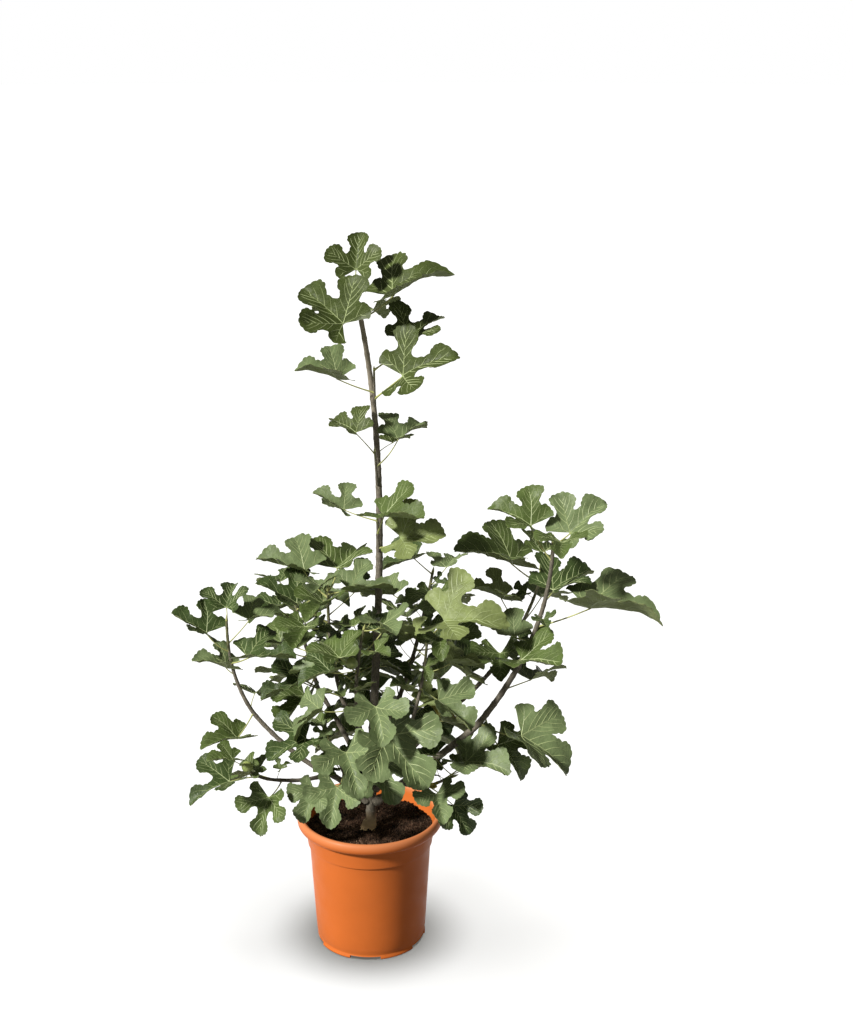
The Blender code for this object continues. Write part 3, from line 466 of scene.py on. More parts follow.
# Profiles: share of the radius, height in radii
FIG_PROFILE = [(0.20, -0.1), (0.21, 0.1), (0.22, 0.3), (0.42, 0.7), (0.76, 1.2), (0.97, 1.8), (1.0, 2.2),
               (0.90, 2.6), (0.62, 2.95), (0.26, 3.08), (0.12, 3.12)]
BUD_PROFILE = [(0.95, 0.0), (1.0, 0.8), (0.85, 1.9), (0.5, 3.2), (0.2, 4.3), (0.05, 4.7)]


# Scene helpers

def link(name, data):
    """Put a mesh, curve or other data in the scene as a named object."""
    item = bpy.data.objects.new(name, data)
    bpy.context.scene.collection.objects.link(item)
    return item


def shaped(name, corners, faces, materials=(), smooth=False, edges=()):
    """Mesh of corners with faces or edges."""
    mesh = bpy.data.meshes.new(name)
    mesh.from_pydata(corners, edges, faces)
    for material in materials:
        mesh.materials.append(material)
    if smooth:
        mesh.polygons.foreach_set("use_smooth", [True] * len(mesh.polygons))
    return mesh


def on_circle(radius, angle):
    """Flat point at a radius and an angle."""
    return radius * math.cos(angle), radius * math.sin(angle)


def evaluated_mesh(item):
    """The object's mesh with its modifiers applied, in world space, with its seams welded."""
    bpy.context.view_layer.update()
    graph = bpy.context.evaluated_depsgraph_get()
    mesh = bpy.data.meshes.new_from_object(item.evaluated_get(graph))
    mesh.transform(item.matrix_world)
    cleaned = bmesh.new()
    cleaned.from_mesh(mesh)
    bmesh.ops.remove_doubles(cleaned, verts=cleaned.verts, dist=1e-6)
    bmesh.ops.recalc_face_normals(cleaned, faces=cleaned.faces)
    cleaned.to_mesh(mesh)
    cleaned.free()
    return mesh


def bake(item):
    """Turn an object's modifiers into a plain mesh of its own."""
    bpy.context.view_layer.update()
    graph = bpy.context.evaluated_depsgraph_get()
    mesh = bpy.data.meshes.new_from_object(item.evaluated_get(graph))
    item.modifiers.clear()
    item.data = mesh
    return item


def light_group(name):
    """Group of things that a light shines on or is shaded by."""
    return bpy.data.collections.get(name) or bpy.data.collections.new(name)


def leave_to_own_light(item):
    """Keep the main light off a thing that has a light of its own."""
    group = light_group("lit_apart")
    group.objects.link(item)
    for entry in group.collection_objects:
        entry.light_linking.link_state = "EXCLUDE"


def settle(item, slot, *nodes):
    """Let a finished piece ride on the plant's one body and hide the nodes it stands for; a pot piece gets
    its own light.
    """
    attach(item, "root")
    if slot == "pot":
        light_group("pot_lit").objects.link(item)
        item.visible_diffuse = False
        leave_to_own_light(item)
    if nodes:
        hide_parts(*nodes)
    return item


# Nodes and materials

def wired(tree, kind, output, inputs=None, **settings):
    """One output of a new node with its settings, socket values and links."""
    node = tree.nodes.new(kind)
    for key, value in settings.items():
        setattr(node, key, value)
    for key, value in (inputs or {}).items():
        if isinstance(value, bpy.types.NodeSocket):
            tree.links.new(value, node.inputs[key])
        else:
            node.inputs[key].default_value = value
    return node.outputs[output]


def principled(name, roughness, **values):
    """New material with its shader and the object's own coordinates."""
    material = bpy.data.materials.new(name)
    material.use_nodes = True
    tree = material.node_tree
    shader = tree.nodes["Principled BSDF"]
    for key, value in {"Roughness": roughness, **values}.items():
        shader.inputs[key.replace("_", " ")].default_value = value
    return material, tree, shader, wired(tree, "ShaderNodeTexCoord", "Object")


def ranged(tree, value, low, high, start, end):
    """Value carried from one range to another."""
    return wired(tree, "ShaderNodeMapRange", "Result", {
        "Value": value, "From Min": low, "From Max": high, "To Min": start, "To Max": end})


def noise_value(tree, place, scale, detail=3.0, low=0.0, high=1.0):
    """Noise of the object's coordinates, spread to a range."""
    grain = wired(tree, "ShaderNodeTexNoise", "Fac", {
        "Vector": place, "Scale": scale, "Detail": detail, "Roughness": 0.55})
    return ranged(tree, grain, 0.3, 0.7, low, high)


def dots(tree, place, scale, near, far, most, **settings):
    """Strength that falls from the middle, or the edge, of scattered cells."""
    cells = wired(tree, "ShaderNodeTexVoronoi", "Distance", {"Vector": place, "Scale": scale}, **settings)
    return ranged(tree, cells, near, far, most, 0.0)


def mixed(tree, factor, first, second):
    """Colour between two colours or colour sockets."""
    first, second = (c if isinstance(c, bpy.types.NodeSocket) else (*c, 1.0) for c in (first, second))
    return wired(tree, "ShaderNodeMix", 2, {0: factor, 6: first, 7: second}, data_type="RGBA")


def maths(tree, operation, first, second):
    """Result of two numbers or sockets."""
    return wired(tree, "ShaderNodeMath", 0, {0: first, 1: second}, operation=operation)


def painted(tree, shader, colour, height, strength, distance):
    """Shader with its colour and its bump."""
    tree.links.new(colour, shader.inputs["Base Color"])
    bump = wired(tree, "ShaderNodeBump", 0, {"Height": height, "Strength": strength, "Distance": distance})
    tree.links.new(bump, shader.inputs["Normal"])


def shade(colour, factor):
    """Colour made lighter or darker."""
    return tuple(min(c * factor, 1.0) for c in colour)


def leaf_face(name, colour, roughness, net_tint):
    """Leaf skin: mottled colour with a faint net of veins and fine puckers."""
    material, tree, shader, place = principled(name, roughness, Specular_IOR_Level=0.24)
    skin = mixed(tree, noise_value(tree, place, 34.0, 4.0), shade(colour, 0.76), shade(colour, 1.24))
    net = dots(tree, place, 300.0, 0.0, 0.12, 0.13, feature="DISTANCE_TO_EDGE")
    netted = mixed(tree, net, skin, net_tint)
    painted(tree, shader, netted, noise_value(tree, place, 190.0, 2.0), 0.35, 0.0012)
    gloss = noise_value(tree, place, 60.0, 2.0, roughness - 0.08, roughness + 0.10)
    tree.links.new(gloss, shader.inputs["Roughness"])
    return material


def smooth_skin(name, colour):
    """Smooth skin of veins, stalks and buds."""
    material, tree, shader, place = principled(name, 0.5)
    skin = mixed(tree, noise_value(tree, place, 70.0), shade(colour, 0.78), shade(colour, 1.12))
    painted(tree, shader, skin, noise_value(tree, place, 700.0), 0.2, 0.0003)
    return material


def bark_skin(name, colour, roughness, foot=None):
    """Bark with lighter lenticels, dark cracks and a grain along the limb, paler at the top, and pale ochre
    at the foot brightened as painted sunlight.
    """
    material, tree, shader, place = principled(name, roughness)
    stretched = wired(tree, "ShaderNodeMapping", 0, {"Vector": place, "Scale": (1.0, 1.0, 0.35)})
    broad = mixed(tree, noise_value(tree, place, 26.0, 4.0), shade(colour, 0.62), shade(colour, 1.25))
    grain = noise_value(tree, stretched, 420.0, 5.0)
    fine = mixed(tree, grain, shade(colour, 0.45), broad)
    skin = mixed(tree, dots(tree, place, 190.0, 0.10, 0.26, 0.75), fine, shade(colour, 1.7))
    if foot:
        height = wired(tree, "ShaderNodeSeparateXYZ", "Z", {"Vector": place})
        # The foot's tone is pale ochre made brighter than its own colour: painted sunlight on the root flare
        tones = ((FOOT_PALE_AND_SUNLIT_TOP, SOIL_LEVEL, foot), (LEADER_DARK_TOP, TRUNK_TIP.z, shade(colour, 1.9)))
        for low, high, tone in tones:
            skin = mixed(tree, ranged(tree, height, low, high, 0.0, 0.85), skin, tone)
    painted(tree, shader, skin, grain, 0.6, 0.0009)
    return material


def pot_plastic(colour):
    """Moulded plastic with a painted highlight along the rim's top and splashes of soil near the foot."""
    material, tree, shader, place = principled("pot_plastic", 0.42, Specular_IOR_Level=0.12)
    body = mixed(tree, noise_value(tree, place, 9.0, 3.0), shade(colour, 0.93), shade(colour, 1.04))
    height = wired(tree, "ShaderNodeSeparateXYZ", "Z", {"Vector": place})
    # Painted highlight: the plastic turns paler towards the top of the rim
    rim_highlight = ranged(tree, height, POT_HEIGHT - 0.016, POT_HEIGHT - 0.004, 0.0, 0.45)
    body = mixed(tree, rim_highlight, body, RIM_PAINTED_HIGHLIGHT)
    low = ranged(tree, height, 0.018, 0.055, 0.55, 0.0)
    specks = maths(tree, "MULTIPLY", low, dots(tree, place, 120.0, 0.05, 0.12, 1.0))
    dirt = maths(tree, "MULTIPLY", specks, noise_value(tree, place, 45.0, 2.0))
    painted(tree, shader, mixed(tree, dirt, body, SPLASH), noise_value(tree, place, 900.0, 2.0), 0.12, 0.0003)
    tree.links.new(noise_value(tree, place, 30.0, 4.0, 0.34, 0.52), shader.inputs["Roughness"])
    return material


def earth(name, colour, light):
    """Crumbly earth with dark patches of painted shade."""
    material, tree, shader, place = principled(name, 0.95, Specular_IOR_Level=0.2)
    grains = mixed(tree, noise_value(tree, place, 300.0, 4.0), colour, light)
    # Painted shade: the earth turns darker in patches
    shade_patched = mixed(tree, noise_value(tree, place, 60.0, 3.0), shade(colour, 0.5), grains)
    painted(tree, shader, shade_patched, noise_value(tree, place, 420.0, 5.0), 0.8, 0.002)
    return material


def fig_skin():
    """Green unripe fig with pale dots and faint ribs."""
    material, tree, shader, place = principled("fig_skin", 0.5)
    green = mixed(tree, noise_value(tree, place, 120.0), (0.20, 0.27, 0.07), (0.34, 0.40, 0.13))
    spotted = mixed(tree, dots(tree, place, 600.0, 0.1, 0.25, 0.5), green, (0.5, 0.54, 0.28))
    painted(tree, shader, spotted, noise_value(tree, place, 260.0), 0.3, 0.0006)
    return material


# Geometry node trees

def new_tree(name, inputs):
    """Empty geometry tree and its named inputs. Inputs: label, kind, value."""
    tree = bpy.data.node_groups.new(name, "GeometryNodeTree")
    for label, kind, value in [("Geometry", "Geometry", None), *inputs]:
        socket = tree.interface.new_socket(label, in_out="INPUT", socket_type="NodeSocket" + kind)
        if value is not None:
            socket.default_value = value
    tree.interface.new_socket("Geometry", in_out="OUTPUT", socket_type="NodeSocketGeometry")
    return tree, tree.nodes.new("NodeGroupInput").outputs


def finished(tree, geometry, *skins):
    """The tree, ending in smooth real geometry with its materials. Skins: material, selection."""
    last = wired(tree, "GeometryNodeSetShadeSmooth", 0, {"Geometry": geometry})
    last = wired(tree, "GeometryNodeRealizeInstances", 0, {"Geometry": last})
    for material, chosen in skins:
        last = wired(tree, "GeometryNodeSetMaterial", 0, {
            "Geometry": last, "Material": material, "Selection": chosen})
    tree.links.new(last, tree.nodes.new("NodeGroupOutput").inputs[0])
    return tree


def apply_tree(item, tree, values):
    """Run a geometry tree on an object and keep its result as a plain mesh."""
    modifier = item.modifiers.new(tree.name, "NODES")
    modifier.node_group = tree
    for socket in tree.interface.items_tree:
        if socket.item_type == "SOCKET" and socket.in_out == "INPUT" and socket.name in values:
            modifier[socket.identifier] = values[socket.name]
    return bake(item)


def named(tree, name, kind="FLOAT"):
    """Attribute of the geometry by name."""
    return wired(tree, "GeometryNodeInputNamedAttribute", "Attribute", {"Name": name}, data_type=kind)


def scaled(tree, vector, factor):
    """Vector made longer or shorter."""
    return wired(tree, "ShaderNodeVectorMath", 0, {0: vector, "Scale": factor}, operation="SCALE")


def round_bar(tree, path, sides, radius=1.0, girth=1.0):
    """Closed bar of a girth along a path."""
    ring = wired(tree, "GeometryNodeCurvePrimitiveCircle", 0,
                 {"Radius": radius, "Resolution": sides}, mode="RADIUS")
    return wired(tree, "GeometryNodeCurveToMesh", 0, {
        "Curve": path, "Profile Curve": ring, "Scale": girth, "Fill Caps": True})


def placed(tree, points, shape, turn, size):
    """Shape set on every point."""
    return wired(tree, "GeometryNodeInstanceOnPoints", 0, {
        "Points": points, "Instance": shape, "Rotation": turn, "Scale": size})


@functools.cache
def limb_tree():
    """Guides with a girth become round limbs with relief, in old or young skin."""
    tree, given = new_tree("limb_skin", [
        ("Sides", "Int", LIMB_SIDES), ("Relief", "Float", 0.1), ("Grain", "Float", 0.05),
        ("Bark", "Material", None), ("Young bark", "Material", None)])
    girth = named(tree, "girth")
    path = wired(tree, "GeometryNodeMeshToCurve", 0, {"Mesh": given["Geometry"]})
    bar = round_bar(tree, path, given["Sides"], girth=girth)
    waves = []
    for depth, scale in (("Relief", RELIEF_SCALE), ("Grain", GRAIN_SCALE)):
        wave = wired(tree, "ShaderNodeTexNoise", 0, {"Detail": 2.0, "Scale": scale, "W": 3.0},
                     noise_dimensions="4D")
        waves.append(maths(tree, "MULTIPLY", maths(tree, "SUBTRACT", wave, 0.5), given[depth]))
    reach = maths(tree, "MULTIPLY", girth, maths(tree, "ADD", *waves))
    push = scaled(tree, wired(tree, "GeometryNodeInputNormal", 0), reach)
    moved = wired(tree, "GeometryNodeSetPosition", 0, {"Geometry": bar, "Offset": push})
    young = wired(tree, "FunctionNodeCompare", 0, {"A": named(tree, "young"), "B": 0.5},
                  operation="GREATER_THAN")
    return finished(tree, moved, (given["Bark"], True), (given["Young bark"], young))


@functools.cache
def knuckle_tree():
    """Points with a facing and a size become small swellings of the bark."""
    tree, given = new_tree("bark_knuckles", [("Bark", "Material", None)])
    points = wired(tree, "GeometryNodeMeshToPoints", 0, {"Mesh": given["Geometry"]})
    pebble = wired(tree, "GeometryNodeMeshIcoSphere", 0, {"Radius": 1.0, "Subdivisions": 2})
    facing = named(tree, "facing", "FLOAT_VECTOR")
    turn = wired(tree, "FunctionNodeAlignRotationToVector", 0, {"Vector": facing}, axis="Z")
    knobs = placed(tree, points, pebble, turn, named(tree, "size", "FLOAT_VECTOR"))
    return finished(tree, knobs, (given["Bark"], True))


@functools.cache
def scatter_tree(fibres):
    """Crumbs, or bent fibres, strewn over a surface."""
    tree, given = new_tree("soil_fibres" if fibres else "soil_crumbs", [
        ("Density", "Float", 1000.0), ("Size", "Float", 0.002), ("Seed", "Int", 1),
        ("Earth", "Material", None)])
    strewn = wired(tree, "GeometryNodeDistributePointsOnFaces", 0, {
        "Mesh": given["Geometry"], "Density": given["Density"], "Seed": given["Seed"]})
    if fibres:
        bend = wired(tree, "GeometryNodeCurveArc", 0, {
            "Resolution": 6, "Radius": 4.0, "Sweep Angle": math.radians(100)}, mode="RADIUS")
        shape, tilt = round_bar(tree, bend, 3, 0.17), 0.5
    else:
        ball = wired(tree, "GeometryNodeMeshIcoSphere", 0, {"Radius": 1.0, "Subdivisions": 1})
        dent = wired(tree, "ShaderNodeTexNoise", "Color", {"Scale": 1.3})
        shape, tilt = wired(tree, "GeometryNodeSetPosition", 0, {"Geometry": ball, "Offset": dent}), math.pi
    turn = wired(tree, "FunctionNodeRandomValue", 0, {
        "Min": (-tilt, -tilt, -math.pi), "Max": (tilt, tilt, math.pi), "Seed": given["Seed"]},
        data_type="FLOAT_VECTOR")
    size = wired(tree, "FunctionNodeRandomValue", 0, {
        "Min": (0.4, 0.4, 0.3), "Max": (1.3, 1.0, 0.8)}, data_type="FLOAT_VECTOR")
    lumps = placed(tree, strewn, shape, turn, scaled(tree, size, given["Size"]))
    return finished(tree, lumps, (given["Earth"], True))


# Shape of the pot's wall and the soil, as in the solids

def arc_points(centre, radius, start, end, count):
    """Points of an arc in the profile plane, angles in degrees."""
    angles = [math.radians(start + (end - start) * i / (count - 1)) for i in range(count)]
    return [(centre[0] + radius * math.cos(a), centre[1] + radius * math.sin(a)) for a in angles]


def wall_inner_radius(z):
    """Inner radius of the pot's wall at a height."""
    if z >= COLLAR_FOOT_Z:
        share = (z - COLLAR_FOOT_Z) / (POT_HEIGHT - RIM_SKIRT - COLLAR_FOOT_Z)
        return COLLAR_FOOT_R + (COLLAR_TOP_R - COLLAR_FOOT_R) * min(share, 1.0) - WALL
    share = (z - FOOT_HEIGHT) / (COLLAR_FOOT_Z - FOOT_HEIGHT)
    return BODY_FOOT_R + (BODY_TOP_R - BODY_FOOT_R) * max(share, 0.0) - WALL


def inner_wall():
    """Inside of the pot's half section, from the floor's edge up to the rim."""
    floor_top = FOOT_HEIGHT + WALL
    points = [(wall_inner_radius(floor_top) - BASE_ROUNDING, floor_top)]
    points.append((wall_inner_radius(floor_top + BASE_ROUNDING), floor_top + BASE_ROUNDING))
    points.append((wall_inner_radius(COLLAR_FOOT_Z - COLLAR_STEP), COLLAR_FOOT_Z - COLLAR_STEP))
    points.append((COLLAR_FOOT_R - WALL, COLLAR_FOOT_Z))
    points.append((COLLAR_TOP_R - WALL, POT_HEIGHT - RIM_SKIRT))
    return points


def soil_height(x, y):
    """Height of the soil's bumpy top, level round the trunk and along the wall."""
    radius = math.hypot(x, y)
    seat = min(max((radius - SOIL_SEAT_R) / 0.02, 0.0), 1.0)
    wave = math.sin(41 * x + 1.3) * math.cos(37 * y - 0.6) + 0.6 * math.sin(90 * x - 60 * y)
    return SOIL_LEVEL + SOIL_BUMP * 0.6 * seat * wave


def rim_arc(top, rim_r, inset, start, end, steps):
    """Points of the rolled rim's section, angles in degrees."""
    turns = [math.radians(lerp((start, end), i / steps)) for i in range(steps + 1)]
    return [(rim_r - RIM_HALF_WIDTH + (RIM_HALF_WIDTH - inset) * math.cos(a),
             top - RIM_HALF_HEIGHT + (RIM_HALF_HEIGHT - inset) * math.sin(a)) for a in turns]


def shell_profile(top, rim_r):
    """Half section of the pot, from the floor's middle up the inside and down the outside."""
    hollow_r, hollow_top = rim_r - RIM_HALF_WIDTH + 0.0015, top - RIM_HALF_HEIGHT + 0.001
    points = [(0.0, FOOT_HEIGHT + WALL)] + inner_wall() + rim_arc(top, rim_r, 0.0, 172, -64, 24)
    points += [(hollow_r, points[-1][1] + 0.0006), (hollow_r, hollow_top), (COLLAR_TOP_R + 0.002, hollow_top)]
    points += [(COLLAR_TOP_R + 0.0003, top - RIM_SKIRT), (COLLAR_FOOT_R + 0.0003, COLLAR_FOOT_Z + 0.004)]
    points += arc_points((COLLAR_FOOT_R - 0.0012, COLLAR_FOOT_Z + 0.0014), 0.0014, 0, -90, 4)
    points += [(BODY_TOP_R + 0.0006, COLLAR_FOOT_Z - 0.0006), (BODY_TOP_R, COLLAR_FOOT_Z - 0.004)]
    for i in range(1, 9):
        radius = lerp((BODY_TOP_R, BODY_FOOT_R + 0.0008), i / 8)
        points.append((radius, lerp((COLLAR_FOOT_Z - 0.004, 0.022), i / 8)))
    points += [(BODY_FOOT_R - 0.0004, 0.014), (BODY_FOOT_R - 0.0020, FOOT_HEIGHT + 0.0015)]
    points += [(BODY_FOOT_R - 0.0018, FOOT_HEIGHT - 0.0005), (FOOT_EDGE_R - 0.0002, 0.0045)]
    points += [(FOOT_EDGE_R, 0.0012), (FOOT_EDGE_R - 0.0010, 0.0), (FOOT_EDGE_R - FOOT_WIDTH, 0.0)]
    points += [(FOOT_EDGE_R - FOOT_WIDTH - 0.001, FOOT_HEIGHT), (PAD_R + 0.001, FOOT_HEIGHT)]
    return points + [(PAD_R, 0.0), (0, 0)]


# Limbs

def arc(foot, tip, bow, share):
    """Point of a limb's arc at a share of its length."""
    return foot.lerp(tip, share) + bow * (4 * share * (1 - share))


def lerp(pair, share):
    """Value between two ends."""
    return pair[0] + (pair[1] - pair[0]) * share


def leader_line(steps, first):
    """Points and radii of the leader above its root flare."""
    top = TRUNK_FOOT + Vector((0, 0, ROOT_FLARE_HEIGHT))
    points, radii = [], []
    for i in range(first, steps + 1):
        share = i / steps
        bent = share ** TRUNK_BOW_SKEW
        points.append(top.lerp(TRUNK_TIP, share) + TRUNK_BOW * (4 * bent * (1 - bent)))
        radii.append(lerp((TRUNK_FOOT_R, TRUNK_TIP_R), share ** 0.8))
    return points, radii


def trunk_path():
    """Points and radii of the leader as the solids have it, with its root flare."""
    flare = TRUNK_FOOT + Vector((ROOT_FLARE_SHIFT, 0, 0))
    top = TRUNK_FOOT + Vector((0, 0, ROOT_FLARE_HEIGHT))
    points, radii = leader_line(TRUNK_STEPS, 1)
    return ([flare, flare + Vector((0, 0, ROOT_FLARE_HEIGHT * 0.3)), top] + points,
            [ROOT_FLARE_R, ROOT_FLARE_R * 0.82, TRUNK_FOOT_R * 1.12] + radii)


def limb_path(foot, tip, bow, foot_r, tip_r, steps):
    """Points and radii of a bough or shoot."""
    shares = [i / steps for i in range(steps + 1)]
    return [arc(foot, tip, bow, s) for s in shares], [lerp((foot_r, tip_r), s) for s in shares]


def limb_mesh(name, points, radii, sides_level):
    """Tapering tube with filled caps, as the solids have it."""
    curve = bpy.data.curves.new(name, "CURVE")
    curve.dimensions = "3D"
    curve.bevel_depth = 1.0
    curve.bevel_resolution = sides_level
    curve.use_fill_caps = True
    spline = curve.splines.new("POLY")
    spline.points.add(len(points) - 1)
    for knot, point, radius in zip(spline.points, points, radii):
        knot.co = (*point, 1.0)
        knot.radius = radius
    guide = link(name + "_guide", curve)
    mesh = evaluated_mesh(guide)
    bpy.data.objects.remove(guide, do_unlink=True)
    return mesh


def mesh_tree(mesh):
    """Search tree of a mesh's faces."""
    return BVHTree.FromPolygons([v.co for v in mesh.vertices], [p.vertices for p in mesh.polygons])


def seated_foot(foot, tip, radius, carrier_tree):
    """Foot moved out along the limb until its end disc is over 0.3 mm clear of its carrier."""
    direction = (tip - foot).normalized()
    across = direction.orthogonal().normalized()
    around = direction.cross(across)
    outside = 0.0
    while outside < SEAT_REACH:
        centre = foot + direction * outside
        end = [centre]
        for girth in [share * radius for share in END_GIRTHS]:
            end += [centre + (across * math.cos(a) + around * math.sin(a)) * girth
                    for a in [math.tau * i / 12 for i in range(12)]]
        nearest = [carrier_tree.find_nearest(p) for p in end]
        if all((p - hit[0]).dot(hit[1]) > 0 and hit[3] > GAP for p, hit in zip(end, nearest)):
            return centre
        outside += SEAT_STEP
    return foot + direction * outside


# Leaves

def blade_lobes(length):
    """The five lobes' rims in the blade's own plane, and the sinuses between them.

    The stalk's joint is at the origin and the middle lobe lies along +X.
    """
    lobes = [(-114, 0.48, 20, 2), (-56, 0.80, 19, 2), (0, 1.00, 17, 3), (56, 0.80, 19, 2), (114, 0.48, 20, 2)]
    rims = []
    for angle, reach, spread, points in lobes:
        rim = []
        for i in range(points):
            turn = spread * (2 * i / (points - 1) - 1)
            bearing = math.radians(angle + turn)
            radius = length * reach * (1.0 if turn == 0 else 0.88)
            rim.append(on_circle(radius, bearing))
        rims.append(rim)
    sinuses = []
    for before, after in zip(lobes, lobes[1:]):
        bearing = math.radians((before[0] + after[0]) / 2)
        sinuses.append(on_circle(length * SINUS_REACH, bearing))
    return rims, sinuses


def blade_height(u, v, length):
    """Height of the blade above its flat plane: sides folded up, tip drooping."""
    return BLADE_FOLD * abs(v) - BLADE_DROOP * u * abs(u) / length - BLADE_CURL * v * v / length


def blade_shape(leaf, thickness):
    """Vertices and faces of a closed leaf blade of some thickness."""
    rims, sinuses = blade_lobes(leaf.blade)
    rim = [(0.0, 0.0)]
    hubs = [0]
    top = []
    for index, lobe in enumerate(rims):
        first = len(rim)
        rim += lobe
        last = len(rim)
        if index < len(sinuses):
            rim.append(sinuses[index])
        else:
            last = 0
        fan = list(range(first, first + len(lobe))) + [last]
        if index == MIDDLE_LOBE:
            fan.insert(0, hubs[-1])
            top += [(0, fan[i], fan[i + 1]) for i in range(len(fan) - 1)]
        else:
            top += [(hubs[-1], fan[i], fan[i + 1]) for i in range(len(fan) - 1)]
        hubs.append(last)
    top += [(0, hubs[i], hubs[i + 1]) for i in range(1, len(hubs) - 2) if i != MIDDLE_LOBE]
    count = len(rim)
    corners = []
    for half in (0.5, -0.5):
        for u, v in rim:
            height = blade_height(u, v, leaf.blade) + half * thickness
            corners.append(leaf.joint + leaf.midrib * u + leaf.side * v + leaf.normal * height)
    faces = top + [(a + count, c + count, b + count) for a, b, c in top]
    faces += [(i, count + i, count + (i + 1) % count, (i + 1) % count) for i in range(count)]
    return corners, faces


def tube_shape(points, radii, sides=3):
    """Vertices and faces of a closed tube lofted through rings."""
    corners = []
    for index, (point, radius) in enumerate(zip(points, radii)):
        before = points[max(index - 1, 0)]
        after = points[min(index + 1, len(points) - 1)]
        along = (after - before).normalized()
        across = along.cross(Vector((0.31, 0.17, 0.93))).normalized()
        around = along.cross(across)
        for i in range(sides):
            angle = math.tau * i / sides
            corners.append(point + (across * math.cos(angle) + around * math.sin(angle)) * radius)
    faces = [tuple(reversed(range(sides)))]
    for ring in range(len(points) - 1):
        low = ring * sides
        for i in range(sides):
            right = (i + 1) % sides
            faces.append((low + i, low + right, low + sides + right, low + sides + i))
    last = (len(points) - 1) * sides
    faces.append(tuple(last + i for i in range(sides)))
    return corners, faces


def stalk_shape(leaf, extra):
    """Vertices and faces of a leaf's stalk, from inside the shoot to inside the blade."""
    rib = leaf.midrib * leaf.blade + leaf.normal * blade_height(leaf.blade, 0, leaf.blade)
    end = leaf.joint + rib * STALK_ROOT
    return tube_shape([leaf.root, end], [STALK_FOOT_R + extra, STALK_TIP_R + extra])


def direction(turn, rise):
    """Unit vector from a turn about Z (0 = +X, 90 = +Y) and a rise above level, in degrees."""
    t, r = math.radians(turn), math.radians(rise)
    return Vector((math.cos(t) * math.cos(r), math.sin(t) * math.cos(r), math.sin(r)))


def make_leaf(root, turn, rise, stalk, head, tilt, blade, lean):
    """Leaf whose blade leans its upper face to the front as far as its heading lets it."""
    joint = root + direction(turn, rise) * stalk
    midrib = direction(head, tilt)
    light = Vector((SUN_SIDE, -math.sin(math.radians(lean)), math.cos(math.radians(lean))))
    normal = (light - midrib * light.dot(midrib)).normalized()
    if normal.z < LEAST_UPRIGHT:
        normal = (Vector((0, 0, 1)) - midrib * midrib.z).normalized()
    return Leaf(root, joint, midrib, normal.cross(midrib), normal, blade)


def leaf_trees(leaf):
    """Search trees of a leaf's stalk and blade, fattened by the clearance."""
    return [BVHTree.FromPolygons(*stalk_shape(leaf, LEAF_CLEARANCE)),
            BVHTree.FromPolygons(*blade_shape(leaf, BLADE_THICKNESS + 2 * LEAF_CLEARANCE))]


def leaf_middle(leaf):
    """Rough middle of a blade."""
    return leaf.joint + leaf.midrib * leaf.blade * 0.4


class Crown:
    """Leaves accepted so far and the solids they keep clear of."""

    def __init__(self, limb_trees, pot_tree):
        self.limb_trees = limb_trees
        self.pot_tree = pot_tree
        self.leaves = {shoot.name: [] for shoot in SHOOTS}
        self.taken = []

    def fits(self, shoot_name, leaf):
        """Whether a leaf keeps clear of pot, limbs and every accepted leaf."""
        stalk, blade = leaf_trees(leaf)
        if stalk.overlap(self.pot_tree) or blade.overlap(self.pot_tree):
            return False
        for name, tree in self.limb_trees.items():
            if blade.overlap(tree) or (name != shoot_name and stalk.overlap(tree)):
                return False
        middle = leaf_middle(leaf)
        for other, other_middle, other_trees, owner in self.taken:
            reach = leaf.blade + other.blade + CROWDING
            if (middle - other_middle).length > reach:
                continue
            if any(blade.overlap(tree) for tree in other_trees):
                return False
            if stalk.overlap(other_trees[1]) or (owner != shoot_name and stalk.overlap(other_trees[0])):
                return False
        return True

    def offer(self, shoot, leaf, centre=None):
        """Keep a leaf that fits and, if a centre is given, stays within the shoot's reach of it."""
        tip = leaf.joint + leaf.midrib * leaf.blade
        if centre and (tip - centre).length >= shoot.reach:
            return False
        if not self.fits(shoot.name, leaf):
            return False
        self.leaves[shoot.name].append(leaf)
        self.taken.append((leaf, leaf_middle(leaf), leaf_trees(leaf), shoot.name))
        return True


def grow_shown(crown, shoot, path):
    """Place a shoot's single leaves, each turned a little at a time until it is clear."""
    for shown in SHOWN.get(shoot.name, []):
        root = path(shown.share)
        for attempt in range(TRIES):
            nudge = (attempt + 1) // 2 * (1 if attempt % 2 else -1) * NUDGE
            leaf = make_leaf(root, shown.turn + nudge, shown.rise + nudge * RISE_NUDGE, shown.stalk,
                             shown.head + nudge, shown.tilt + nudge * TILT_NUDGE, shown.blade, shown.lean)
            if crown.offer(shoot, leaf):
                break


def grow_filling(crown, shoot, path, dice):
    """Grow a shoot's filling leaves round it by the golden angle."""
    fill = shoot.fill
    middle = path(0.5)
    for number in range(fill.count):
        up = number / max(fill.count - 1, 1)
        share = fill.start + (1 - fill.start) * up
        for attempt in range(TRIES):
            sway = dice.uniform(-FILL_TURN, FILL_TURN) * (1 + 0.5 * attempt)
            turn = fill.phase + number * GOLDEN_ANGLE + sway
            rise = lerp(fill.rise, up) + dice.uniform(-FILL_SWAY, FILL_SWAY)
            stalk = lerp(fill.stalk, up) * dice.uniform(0.85, 1.2)
            blade = lerp(fill.blade, up) * dice.uniform(0.85, 1.1)
            head = turn + dice.uniform(-FILL_HEAD, FILL_HEAD)
            tilt = lerp(fill.tilt, up) + dice.uniform(-FILL_SWAY, FILL_SWAY)
            lean = dice.uniform(*FILL_LEAN)
            leaf = make_leaf(path(share), turn, rise, stalk, head, tilt, blade, lean)
            if crown.offer(shoot, leaf, middle):
                break


